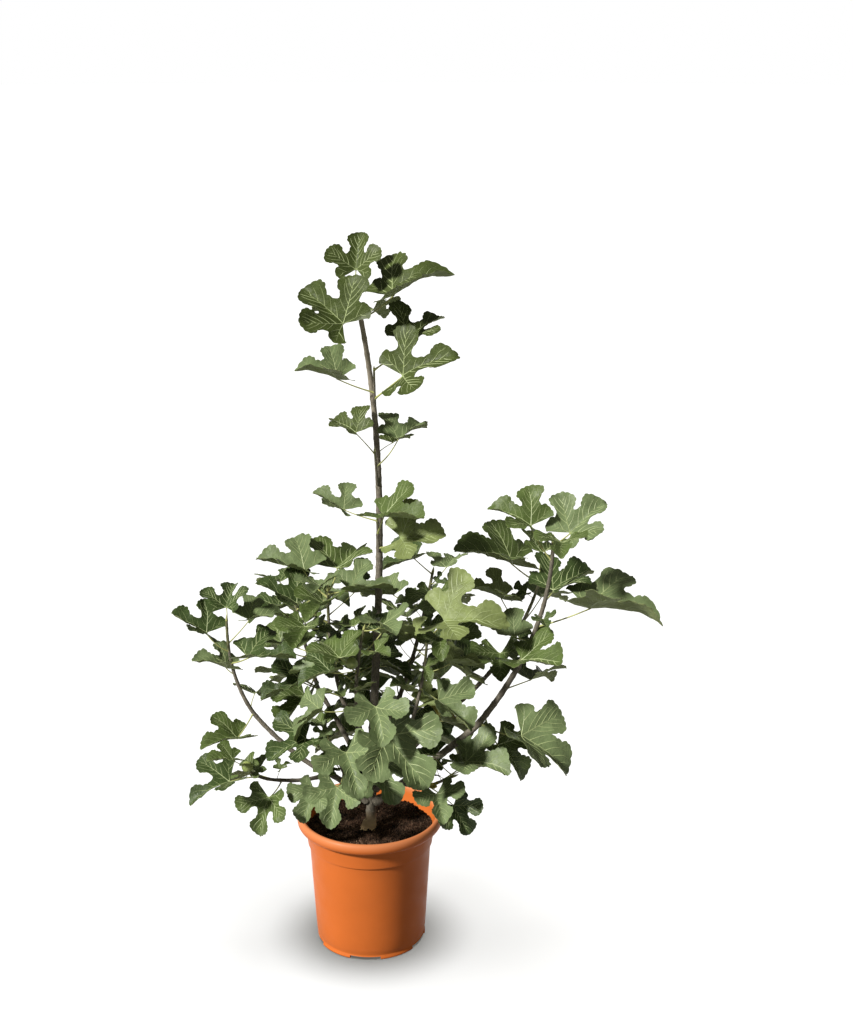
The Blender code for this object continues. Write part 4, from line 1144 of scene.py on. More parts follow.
def shoot_foot(shoot, limbs, trees):
    """Where a shoot starts: beyond its bough's tip, or beside the trunk for a side shoot."""
    tip = Vector(shoot.tip)
    if shoot.carrier == "trunk" and shoot.name != "leader_top_leaves":
        hit = trees["trunk"].find_nearest(tip - Vector((0, 0, SPUR_RISE)))
        return seated_foot(hit[0] - hit[1] * 0.002, tip, shoot.foot_r, trees["trunk"])
    end = limbs[shoot.carrier][0][-1]
    return seated_foot(end, arc(end, tip, Vector(shoot.bow), 0.15), shoot.foot_r, trees[shoot.carrier])


Growth = namedtuple("Growth", "limbs feet paths crown")


def grow_finer(crown, shoot, path, dice):
    """Small young leaves among the others, by the same rule."""
    count, blades = FINER.get(shoot.name, (0, (0, 0)))
    middle = path(0.5)
    for number in range(count):
        up = (number + 0.5) / count
        for _ in range(TRIES):
            share = min(up + dice.uniform(-0.15, 0.15), 1.0) if shoot.fill.count else 0.9 + 0.1 * up
            turn = shoot.fill.phase + 60 + number * GOLDEN_ANGLE + dice.uniform(-70, 70)
            blade = lerp(blades, up) * dice.uniform(0.8, 1.2)
            leaf = make_leaf(path(max(share, 0.0)), turn, dice.uniform(5, 60), blade * dice.uniform(0.5, 0.9),
                             turn + dice.uniform(-40, 40), dice.uniform(-25, 45), blade, dice.uniform(5, 45))
            if crown.offer(shoot, leaf, middle):
                break


@functools.cache
def growth():
    """Limbs, shoots and leaves, grown by the rule of the solids, then the finer leaves."""
    limbs = {"trunk": trunk_path()}
    trees = {"trunk": mesh_tree(limb_mesh("trunk", *limbs["trunk"], 3))}
    for bough in BOUGHS:
        foot, tip, bow = Vector(bough.foot), Vector(bough.tip), Vector(bough.bow)
        foot = seated_foot(foot, arc(foot, tip, bow, 0.15), bough.foot_r, trees[bough.carrier])
        limbs[bough.name] = limb_path(foot, tip, bow, bough.foot_r, bough.tip_r, 4)
        trees[bough.name] = mesh_tree(limb_mesh(bough.name, *limbs[bough.name], 2))
    paths, feet = {}, {}
    for shoot in SHOOTS:
        foot, tip, bow = shoot_foot(shoot, limbs, trees), Vector(shoot.tip), Vector(shoot.bow)
        points, radii = limb_path(foot, tip, bow, shoot.foot_r, shoot.tip_r, 5)
        paths[shoot.name] = lambda share, f=foot, t=tip, b=bow: arc(f, t, b, 0.02 + 0.96 * share)
        feet[shoot.name] = foot
        trees[shoot.name] = mesh_tree(limb_mesh(shoot.name, points, radii, 1))
    guard = bmesh.new()
    bmesh.ops.create_cone(guard, cap_ends=True, segments=24, radius1=RIM_OUTER_R + POT_MARGIN,
                          radius2=RIM_OUTER_R + POT_MARGIN, depth=POT_HEIGHT + 4 * POT_MARGIN)
    bmesh.ops.translate(guard, verts=guard.verts, vec=(0, 0, POT_HEIGHT / 2))
    crown = Crown(trees, BVHTree.FromBMesh(guard))
    guard.free()
    for shoot in SHOOTS:
        grow_shown(crown, shoot, paths[shoot.name])
    dice = random.Random(SEED)
    for shoot in SHOOTS:
        grow_filling(crown, shoot, paths[shoot.name], dice)
    dice = random.Random(LOOK_SEED)
    for shoot in SHOOTS:
        grow_finer(crown, shoot, paths[shoot.name], dice)
    return Growth(limbs, feet, paths, crown)


# Bark

Guide = namedtuple("Guide", "points girths young")


def dense_arc(foot, tip, bow, foot_r, tip_r, young_from=2.0):
    """Closely spaced guide of a bough or shoot."""
    steps = max(int((tip - foot).length / LIMB_SPACING), 4)
    shares = [i / steps for i in range(steps + 1)]
    return Guide([arc(foot, tip, bow, s) for s in shares], [lerp((foot_r, tip_r), s) for s in shares],
                 [float(s > young_from) for s in shares])


def leader_guide():
    """Closely spaced guide of the leader, from just under the soil's surface."""
    flare = TRUNK_FOOT + Vector((ROOT_FLARE_SHIFT, 0, -LEADER_SINK))
    top = TRUNK_FOOT + Vector((0, 0, ROOT_FLARE_HEIGHT))
    points, girths = [], []
    for i in range(FLARE_STEPS):
        share = i / FLARE_STEPS
        ease = share * share * (3 - 2 * share)
        points.append(flare.lerp(top, share) + Vector((ROOT_FLARE_SHIFT * (share - ease), 0, 0)))
        girths.append(lerp((ROOT_FLARE_R, TRUNK_FOOT_R * 1.06), share ** 0.55))
    above, above_girths = leader_line(int((TRUNK_TIP - top).length / LIMB_SPACING), 0)
    points += above
    return Guide(points, girths + above_girths, [0.0] * len(points))


def joined_guide(first, second):
    """Two guides end to end."""
    return Guide(*(near + far[1:] for near, far in zip(first, second)))


def softened(guide, start, passes=6):
    """Guide with its corners rounded, apart from its start."""
    points, girths = list(guide.points), list(guide.girths)
    for _ in range(passes):
        for i in range(start + 1, len(points) - 1):
            points[i] = (points[i - 1] + points[i] * 2 + points[i + 1]) / 4
            girths[i] = (girths[i - 1] + girths[i] * 2 + girths[i + 1]) / 4
    return Guide(points, girths, guide.young)


def rooted(guide, carrier_r):
    """Guide whose foot is sunk into its carrier, with a collar round it."""
    along = (guide.points[1] - guide.points[0]).normalized()
    inside = guide.points[0] - along * carrier_r
    girths = [g * (1 + COLLAR_SWELLING * math.exp(-i / COLLAR_FADE)) for i, g in enumerate(guide.girths)]
    return Guide([inside] + guide.points, [girths[0]] + girths, [0.0] + guide.young)


def limb_guides(plan):
    """Guides of all limbs: the leader with its top shoot, then each bough with its shoot."""
    boughs = {b.name: b for b in BOUGHS}
    shoots = {s.name: s for s in SHOOTS}
    dense = {}
    for bough in BOUGHS:
        foot = plan.limbs[bough.name][0][0]
        dense[bough.name] = dense_arc(foot, Vector(bough.tip), Vector(bough.bow), bough.foot_r, bough.tip_r)
    for shoot in SHOOTS:
        young_from = YOUNG_FROM.get(shoot.name, YOUNG_FROM_OTHERS)
        dense[shoot.name] = dense_arc(plan.feet[shoot.name], Vector(shoot.tip), Vector(shoot.bow),
                                      shoot.foot_r, shoot.tip_r, young_from)
    guides = []
    for shoot in SHOOTS:
        chain = [shoot.name]
        carrier = shoot.carrier
        while carrier in boughs:
            chain.insert(0, carrier)
            follows = boughs[carrier].carrier in boughs and boughs[carrier].name.endswith("rising_bough")
            carrier = boughs[carrier].carrier if follows else None
        guide = dense[chain[0]]
        for name in chain[1:]:
            guide = joined_guide(guide, dense[name])
        if shoot.name == "leader_top_leaves":
            leader = leader_guide()
            guides.append(softened(joined_guide(leader, guide), 14))
        else:
            guides.append(rooted(softened(guide, 0), SHOOT_SINK if chain[0] in shoots else BOUGH_SINK))
    return guides


def with_nodes(guide, dice):
    """Girth raised in rings at the leaf nodes, and where the scars sit."""
    girths = list(guide.girths)
    scars = []
    travelled, next_node, turn = 0.0, FIRST_NODE, dice.uniform(0, 360)
    for i in range(1, len(guide.points) - 1):
        travelled += (guide.points[i] - guide.points[i - 1]).length
        if travelled < next_node:
            continue
        closer = YOUNG_NODE_SPACING if guide.young[i] else 1.0
        next_node = travelled + WOOD_NODE_SPACING * dice.uniform(0.7, 1.3) * closer
        turn += GOLDEN_ANGLE
        for k in range(-2, 3):
            if 0 <= i + k < len(girths):
                girths[i + k] *= 1 + NODE_SWELLING * math.exp(-abs(k))
        along = (guide.points[i + 1] - guide.points[i - 1]).normalized()
        across = along.orthogonal().normalized()
        around = along.cross(across)
        out = across * math.cos(math.radians(turn)) + around * math.sin(math.radians(turn))
        radius = guide.girths[i]
        scars.append((guide.points[i] + out * radius * 0.82, out, radius * dice.uniform(0.38, 0.6), along))
    return Guide(guide.points, girths, guide.young), scars


def guide_mesh(name, guides):
    """Mesh of edges along the guides, with girth and youth at each point."""
    points, edges, girths, young = [], [], [], []
    for guide in guides:
        first = len(points)
        points += guide.points
        edges += [(first + i, first + i + 1) for i in range(len(guide.points) - 1)]
        girths += guide.girths
        young += guide.young
    mesh = shaped(name, points, [], edges=edges)
    mesh.attributes.new("girth", "FLOAT", "POINT").data.foreach_set("value", girths)
    mesh.attributes.new("young", "FLOAT", "POINT").data.foreach_set("value", young)
    return mesh


def point_mesh(name, spots):
    """Mesh of loose points with facing and size."""
    mesh = shaped(name, [spot[0] for spot in spots], [])
    facing = [c for spot in spots for c in spot[1]]
    size = [spot[2] * stretch for spot in spots for stretch in (1.0, 0.8, 0.62)]
    mesh.attributes.new("facing", "FLOAT_VECTOR", "POINT").data.foreach_set("vector", facing)
    mesh.attributes.new("size", "FLOAT_VECTOR", "POINT").data.foreach_set("vector", size)
    return mesh


# Leaf patterns, in units of the middle lobe's length

Pattern = namedtuple("Pattern", "flat faces rim veins axes bends")

# Lobes: angle in degrees, reach, half width
LOBES = [(-115, 0.50, 0.17), (-57, 0.82, 0.265), (0, 1.0, 0.30), (57, 0.82, 0.265), (115, 0.50, 0.17)]


def lobe_keys(axis, reach, width, neck, neck_width):
    """Key points of one lobe's outline, from its near side round the tip."""
    side = [(neck, neck_width), (0.72, 0.97), (0.84, 0.95), (0.935, 0.62)]
    local = [(reach * t, -width * w) for t, w in side] + [(reach, 0.0)]
    local += [(reach * t, width * w) for t, w in reversed(side)]
    c, s = math.cos(axis), math.sin(axis)
    return [(t * c - w * s, t * s + w * c) for t, w in local]


def smooth_loop(keys, samples):
    """Closed Catmull-Rom line through the keys."""
    points = []
    for i in range(len(keys)):
        p0, p1, p2, p3 = (Vector(keys[(i + k) % len(keys)]) for k in (-1, 0, 1, 2))
        for j in range(samples):
            t = j / samples
            points.append(0.5 * (2 * p1 + (p2 - p0) * t + (2 * p0 - 5 * p1 + 4 * p2 - p3) * t * t
                                 + (3 * p1 - p0 - 3 * p2 + p3) * t ** 3))
    return points


def even_loop(points, step):
    """Closed line with evenly spaced points."""
    lengths = [(points[(i + 1) % len(points)] - p).length for i, p in enumerate(points)]
    count = int(sum(lengths) / step)
    spacing = sum(lengths) / count
    even, i, used = [], 0, 0.0
    for _ in range(count):
        even.append(points[i].lerp(points[(i + 1) % len(points)], used / max(lengths[i], 1e-9)))
        used += spacing
        while used > lengths[i]:
            used -= lengths[i]
            i = (i + 1) % len(points)
    return even


def inside_loop(point, loop):
    """Whether a flat point is inside a closed line."""
    inside = False
    x, y = point
    for i, a in enumerate(loop):
        b = loop[i - 1]
        if (a.y > y) != (b.y > y) and x < (b.x - a.x) * (y - a.y) / (b.y - a.y) + a.x:
            inside = not inside
    return inside


def crenate(loop, dice):
    """Shallow rounded teeth on the lobes' outer edges."""
    toothed = []
    height = TOOTH
    for i, p in enumerate(loop):
        along = (loop[(i + 1) % len(loop)] - loop[i - 1]).normalized()
        outward = Vector((along.y, -along.x))
        far = min(max((p.length - 0.36) / 0.2, 0.0), 1.0)
        if i % 4 == 0:
            height = TOOTH * dice.uniform(0.5, 1.3)
        rise = (-0.6, 0.2, 0.45, 0.2)[i % 4]
        toothed.append(p + outward * (rise * height * far))
    return toothed


def leaf_lobes(dice, deep):
    """The five lobes of a pattern: axis, reach, width, neck, neck's width."""
    lobes = []
    for angle, reach, width in LOBES:
        axis = math.radians(angle + dice.uniform(-4, 4))
        reach = reach * dice.uniform(0.93, 1.0)
        width = width * dice.uniform(0.92, 1.06) * (1.0 - 0.10 * deep)
        neck = (lerp((0.60, 0.53), deep), lerp((0.80, 0.56), deep)) if abs(angle) < 90 else (0.78, 0.85)
        lobes.append((axis, reach, width, *neck))
    return lobes


def leaf_outline(dice, lobes, deep):
    """Toothed outline round the lobes, from the stalk's notch and back to it."""
    keys = [(-0.015, -0.03)]
    for i, lobe in enumerate(lobes):
        keys += lobe_keys(*lobe)
        if i < len(lobes) - 1:
            depth = lerp((0.50, 0.38), deep) * dice.uniform(0.92, 1.08) if 0 < i < 3 else 0.38
            keys.append(on_circle(depth, (lobe[0] + lobes[i + 1][0]) / 2))
    keys += [(-0.015, 0.03), (0.02, 0.0)]
    return crenate(even_loop(smooth_loop(keys, 8), OUTLINE_STEP), dice)


def leaf_veins(dice, lobes, loop):
    """Midribs and side veins: line, half widths, sides."""
    veins, lines = [], []
    for axis, reach, _, _, _ in lobes:
        bend = dice.uniform(-0.03, 0.03)
        along = Vector((math.cos(axis), math.sin(axis)))
        across = Vector((-math.sin(axis), math.cos(axis)))
        steps = 12 if reach > 0.6 else 6
        last = 0.93 * reach
        spine = [along * (last * i / steps) + across * (bend * math.sin(math.pi * i / steps))
                 for i in range(steps + 1)]
        lines.append(spine)
        widths = [MAIN_VEIN * reach ** 0.5 * (1 - 0.75 * i / steps) for i in range(steps + 1)]
        veins.append((spine, widths, 4))
        for side in (-1, 1):
            for i in range(2 if side > 0 else 3, steps - 1, 2):
                turn = axis + side * math.radians(54 - 1.6 * i + dice.uniform(-4, 4))
                line = [spine[i]]
                for _ in range(7):
                    turn -= side * 0.07
                    ahead = line[-1] + Vector((math.cos(turn), math.sin(turn))) * SIDE_VEIN_STEP
                    beyond = ahead + (ahead - line[-1]) * 0.7
                    if not inside_loop(beyond, loop) or nearest(ahead, lines[:-1]) < VEIN_CLEARANCE:
                        break
                    line.append(ahead)
                if len(line) > 2:
                    widths = [SIDE_VEIN * (1 - 0.65 * k / (len(line) - 1)) for k in range(len(line))]
                    veins.append((line, widths, 3))
    return veins


def inner_points(solid, loop):
    """Grid of points inside the outline, clear of it and of the veins."""
    inner = []
    for row in range(int(2.2 / (INNER_STEP * 0.87))):
        for column in range(int(2.2 / INNER_STEP)):
            p = Vector((-0.8 + (column + 0.5 * (row % 2)) * INNER_STEP, -1.0 + row * INNER_STEP * 0.87))
            if inside_loop(p, loop) and min((p - q).length for q in solid) > INNER_STEP * 0.5:
                inner.append(p)
    return inner


def leaf_pattern(number):
    """One flat leaf pattern: outline, inner points, triangles and veins."""
    dice = random.Random(PATTERN_SEED + number)
    deep = (0.0, 0.6, 1.0, 0.3)[number % 4]
    lobes = leaf_lobes(dice, deep)
    loop = leaf_outline(dice, lobes, deep)
    veins = leaf_veins(dice, lobes, loop)
    solid = loop + [p for line, _, _ in veins for p in line]
    count = len(loop)
    edges = [(i, (i + 1) % count) for i in range(count)]
    first = count
    for line, _, _ in veins:
        edges += [(first + i, first + i + 1) for i in range(len(line) - 1)]
        first += len(line)
    found = delaunay_2d_cdt(solid + inner_points(solid, loop), edges, [list(range(count))], 1, 1e-4)
    flat, faces = found[0], found[2]
    sides = {(face[i - 1], face[i]) for face in faces for i in range(3)}
    rim = sorted((a, b) for a, b in sides if (b, a) not in sides)
    bends = [dice.uniform(-0.6, 0.25) for _ in lobes]
    return Pattern(flat, faces, rim, veins, [lobe[0] for lobe in lobes], bends)


def nearest(point, lines):
    """Distance to the closest point of some lines, leaving out their first part."""
    return min(((point - q).length for line in lines for q in line[2:]), default=9.0)


@functools.cache
def patterns():
    """All flat leaf patterns."""
    return [leaf_pattern(number) for number in range(PATTERN_COUNT)]


class LeafSheet:
    """Leaves of one group, collected into one mesh with a face material each."""

    def __init__(self):
        self.corners, self.faces, self.skins = [], [], []

    def add_leaf(self, leaf, pattern, dice, upper, under, vein, settings):
        """Shape one leaf: two faces, their rim, and its veins."""
        size = leaf.blade
        half = settings.thickness / 2
        mirror = dice.choice((-1, 1))
        fold = BLADE_FOLD * dice.uniform(0.85, 1.15)
        pleat = settings.pleat * dice.uniform(0.6, 1.3)
        wave = settings.wave * dice.uniform(0.6, 1.4)
        key = dice.uniform(0, 50)
        axes = pattern.axes
        bends = [bend * dice.uniform(0.3, 1.5) for bend in pattern.bends]

        def height(u, v):
            ridge = math.sqrt(v * v + RIDGE_SOFTNESS) - RIDGE_DROP
            deep, bend, out = 9.0, 0.0, 0.0
            for axis, lobe_bend in zip(axes, bends):
                t = u * math.cos(axis) + v * math.sin(axis)
                w = abs(-u * math.sin(axis) + v * math.cos(axis)) if t > 0 else math.hypot(u, v)
                if w < deep:
                    deep, bend, out = w, lobe_bend, t
            far = min(math.hypot(u, v), 1.1)
            crease = math.sqrt(deep * deep + CREASE_SOFTNESS) - CREASE_DROP
            quilt = abs(math.sin(math.pi * (out - 0.7 * deep) / QUILT_SPACING)) * min(deep * 9, 1.0)
            ripple = noise.noise(Vector((u * RIPPLE_SCALE, v * RIPPLE_SCALE, key)))
            ripple += 0.4 * noise.noise(Vector((u * FINE_RIPPLE_SCALE, v * FINE_RIPPLE_SCALE, key + 9)))
            return size * (fold * ridge - BLADE_DROOP * u * abs(u) - BLADE_CURL * v * v
                           + pleat * crease * min(far * 2, 1.0) + settings.quilt * quilt
                           + bend * max(far - LOBE_BEND_FROM, 0.0) ** 2 + wave * ripple * far)

        def place(u, v, lift):
            flat = leaf.joint + leaf.midrib * (u * size) + leaf.side * (v * size)
            return flat + leaf.normal * (height(u, v) + lift)

        first = len(self.corners)
        count = len(pattern.flat)
        for lift in (half, -half):
            self.corners += [place(p.x, p.y * mirror, lift) for p in pattern.flat]
        for a, b, c in pattern.faces:
            if mirror < 0:
                a, c = c, a
            self.faces.append((first + a, first + b, first + c))
            self.faces.append((first + count + c, first + count + b, first + count + a))
            self.skins += [upper, under]
        for a, b in pattern.rim:
            if mirror > 0:
                a, b = b, a
            self.faces.append((first + a, first + b, first + count + b, first + count + a))
            self.skins.append(under)
        for line, widths, sides in pattern.veins:
            spine = [place(p.x, p.y * mirror, 0.0) for p in line]
            self.add_vein(spine, [w * size for w in widths], sides, half, leaf.normal, vein)

    def add_vein(self, spine, widths, sides, half, normal, vein):
        """Thin tapered rib that stands out of both faces."""
        first = len(self.corners)
        for i, (centre, width) in enumerate(zip(spine, widths)):
            ahead = spine[min(i + 1, len(spine) - 1)] - spine[max(i - 1, 0)]
            across = normal.cross(ahead).normalized() * width
            top, bottom = normal * (half + width * 0.75), normal * (half + width * 0.8)
            ring = [centre + across, centre + top, centre - across, centre - bottom]
            if sides == 3:
                ring = [centre + across + top, centre - across + top, centre - bottom]
            self.corners += ring
        for i in range(len(spine) - 1):
            low = first + i * sides
            for k in range(sides):
                n = (k + 1) % sides
                self.faces.append((low + k, low + n, low + sides + n, low + sides + k))
                self.skins.append(vein)
        last = first + (len(spine) - 1) * sides
        self.faces.append(tuple(first + k for k in reversed(range(sides))))
        self.faces.append(tuple(last + k for k in range(sides)))
        self.skins += [vein, vein]

    def mesh(self, name, materials):
        """The collected mesh, smooth apart from its rims."""
        mesh = shaped(name, self.corners, self.faces, materials, smooth=True)
        mesh.polygons.foreach_set("material_index", self.skins)
        mesh.set_sharp_from_angle(angle=LEAF_SHARP)
        return mesh


def keep_in_box(mesh):
    """Hold each corner inside the solids' box."""
    low = [c + BOX_MARGIN for c in CAD_LOW]
    high = [c - BOX_MARGIN for c in CAD_HIGH]
    for vertex in mesh.vertices:
        if any(not low[k] <= vertex.co[k] <= high[k] for k in range(3)):
            vertex.co = [min(max(vertex.co[k], low[k]), high[k]) for k in range(3)]


def stalk_guide(leaf, dice, settings):
    """Slightly bowed stalk from inside the shoot to under the blade's foot."""
    rib = leaf.midrib * leaf.blade + leaf.normal * blade_height(leaf.blade, 0, leaf.blade)
    end = leaf.joint + rib * 0.03 - leaf.normal * 0.0006
    length = (end - leaf.root).length
    sag = (Vector((0, 0, -1)) * dice.uniform(-0.02, 0.09) + leaf.side * dice.uniform(-0.05, 0.05)) * length
    shares = [i / STALK_STEPS for i in range(STALK_STEPS + 1)]
    points = [leaf.root.lerp(end, s) + sag * (4 * s * (1 - s)) for s in shares]
    thick = settings.stalk_radius * min(max(leaf.blade / 0.09, 0.45), 1.15)
    girths = [thick * (1.0 - 0.32 * s + 0.75 * math.exp(-s * 14) + 0.25 * math.exp(-(1 - s) * 16))
              for s in shares]
    return Guide(points, girths, [0.0] * len(points))


# Settings

def colour_setting(name, text, value):
    """Colour of a settings group."""
    return FloatVectorProperty(name=name, description=text, subtype="COLOR", size=3,
                               min=0, max=1, default=value)


def number_setting(name, text, value, **limits):
    """Number, length or angle of a settings group."""
    return FloatProperty(name=name, description=text, default=value, **{"min": 0, **limits})


class StageSettings(bpy.types.PropertyGroup):
    """Floor and lights."""
    floor_colour: colour_setting("Floor", "Colour of the plain floor", (0.86, 0.86, 0.86))
    key_strength: number_setting("Key light", "Strength of the main light", 5.0)
    key_spread: number_setting("Key spread", "How soft the main light is", math.radians(7), subtype="ANGLE")
    fill_strength: number_setting("Fill light", "Strength of the light from all round", 0.20)


class PotSettings(bpy.types.PropertyGroup):
    """Round nursery pot."""
    rim_radius: number_setting("Rim radius", "Outer radius of the rolled rim", POT_HIGH.x,
                               unit="LENGTH", min=0.05)
    height: number_setting("Height", "Height of the pot", POT_HIGH.z, unit="LENGTH", min=0.05)
    colour: colour_setting("Plastic", "Colour of the plastic", (0.60, 0.146, 0.028))


class SoilSettings(bpy.types.PropertyGroup):
    """Soil in the pot."""
    colour: colour_setting("Soil", "Colour of the soil", (0.036, 0.020, 0.012))
    crumbs: number_setting("Crumbs", "Crumbs per square metre", 90000)
    crumb_size: number_setting("Crumb size", "Radius of a middling crumb", 0.0025, unit="LENGTH", min=0.0002)
    fibres: number_setting("Fibres", "Fibres per square metre", 9000)


class BarkSettings(bpy.types.PropertyGroup):
    """Bark of the leader, boughs and shoots."""
    colour: colour_setting("Bark", "Colour of old bark", (0.22, 0.195, 0.150))
    # Pale ochre of the root flare, brightened as painted sunlight
    foot_tone_and_painted_sun: colour_setting("Root flare", "Colour of the leader's foot", (0.85, 0.60, 0.33))
    young_colour: colour_setting("Young bark", "Colour of this year's bark", (0.19, 0.19, 0.09))
    relief: number_setting("Relief", "Depth of the bark's waves as a share of the radius", 0.22, max=1)
    grain: number_setting("Grain", "Depth of the bark's grain as a share of the radius", 0.12, max=1)


class LeafSettings(bpy.types.PropertyGroup):
    """Leaves, stalks and young figs."""
    thickness: number_setting("Thickness", "Thickness of a blade", 0.0006, unit="LENGTH", min=0.0002)
    pleat: number_setting("Pleat", "How far the blade rises between the main veins", 0.30)
    quilt: number_setting("Quilt", "How far the blade rises between the side veins", 0.014)
    wave: number_setting("Wave", "How wavy the blade is", 0.085)
    stalk_radius: number_setting("Stalk radius", "Radius of a large leaf's stalk", 0.0016,
                                 unit="LENGTH", min=0.0003)
    olive: colour_setting("Olive", "Leaves at the top", (0.050, 0.072, 0.014))
    mid: colour_setting("Green", "Most leaves", (0.076, 0.114, 0.028))
    grey: colour_setting("Grey green", "Leaves with a bloom", (0.140, 0.190, 0.082))
    dark: colour_setting("Dark green", "Old dark leaves", (0.044, 0.074, 0.020))
    # Yellow-green of fresh leaves, also painted on chosen leaves as light shining through them
    fresh: colour_setting("Fresh green", "Fresh yellow-green leaves", (0.190, 0.235, 0.080))
    old: colour_setting("Fading yellow", "The few fading leaves", (0.30, 0.24, 0.04))
    # Paler than the upper faces as fig undersides are, and paler still as painted light shining through
    under: colour_setting("Underside", "Undersides of leaves", (0.26, 0.31, 0.13))
    vein_colour: colour_setting("Veins", "Veins of the leaves", (0.36, 0.43, 0.20))
    stalk_colour: colour_setting("Stalks", "Stalks of the leaves", (0.44, 0.46, 0.17))


# Operators

class FIG_OT_stage(bpy.types.Operator):
    """Make the plain floor, the lights and the camera."""
    bl_idname = "fig.stage"
    bl_label = "Stage"

    def execute(self, context):
        settings = context.scene.fig_stage
        disc = bmesh.new()
        bmesh.ops.create_circle(disc, cap_ends=True, segments=96, radius=FLOOR_RADIUS)
        bmesh.ops.translate(disc, verts=disc.verts, vec=(0, 0, -FLOOR_DROP))
        mesh = bpy.data.meshes.new("floor")
        disc.to_mesh(mesh)
        disc.free()
        colour = tuple(settings.floor_colour)
        material, tree, shader, place = principled("floor_paper", 0.9, Specular_IOR_Level=0.1)
        paper = mixed(tree, noise_value(tree, place, 6.0), shade(colour, 0.995), colour)
        painted(tree, shader, paper, noise_value(tree, place, 40.0), 0.0, 0.001)
        mesh.materials.append(material)
        floor = link("floor", mesh)
        floor.visible_diffuse = False

        toward = direction(-90 - KEY_LEFT, KEY_RISE).to_track_quat("Z", "Y")
        suns = (("key_light", "lit_apart", None), ("pot_light", "pot_lit", "pot_lit"))
        for name, receivers, blockers in suns:
            lamp = self.lamp(name, settings.key_strength, settings.key_spread, KEY_COLOUR,
                             receivers, blockers)
            lamp.rotation_quaternion = toward
        self.lamp("floor_light", FLOOR_LIGHT, FLOOR_LIGHT_SPREAD, (1, 1, 1), "floor_lit", "pot_lit")
        self.lamp("floor_fill", FLOOR_FILL, FLOOR_LIGHT_SPREAD, (1, 1, 1), "floor_lit", "shadeless")
        light_group("floor_lit").objects.link(floor)
        leave_to_own_light(floor)

        world = bpy.data.worlds.new("studio")
        world.use_nodes = True
        tree = world.node_tree
        lit, seen = (wired(tree, "ShaderNodeBackground", 0, {"Color": (*colour, 1.0), "Strength": strength})
                     for colour, strength in ((SKY_COLOUR, settings.fill_strength), ((1, 1, 1), 1.0)))
        ray = wired(tree, "ShaderNodeLightPath", "Is Camera Ray")
        choice = wired(tree, "ShaderNodeMixShader", 0, {0: ray, 1: lit, 2: seen})
        tree.links.new(choice, tree.nodes["World Output"].inputs["Surface"])
        context.scene.world = world
        context.scene.view_settings.view_transform = "Standard"

        view = bpy.data.cameras.new("camera")
        view.sensor_width = SENSOR
        view.lens = FOCAL_PIXELS / PICTURE_HEIGHT * SENSOR
        camera = link("camera", view)
        camera.location = CAMERA_PLACE
        camera.rotation_euler = (math.radians(90 - CAMERA_DIP), 0, 0)
        context.scene.camera = camera
        return {"FINISHED"}

    def lamp(self, name, strength, spread, colour, receivers, blockers):
        """Wide far light for one group of things, with shade from another."""
        light = bpy.data.lights.new(name, "SUN")
        light.energy = strength
        light.angle = spread
        light.color = colour
        item = link(name, light)
        item.rotation_mode = "QUATERNION"
        item.light_linking.receiver_collection = light_group(receivers)
        if blockers:
            item.light_linking.blocker_collection = light_group(blockers)
        return item


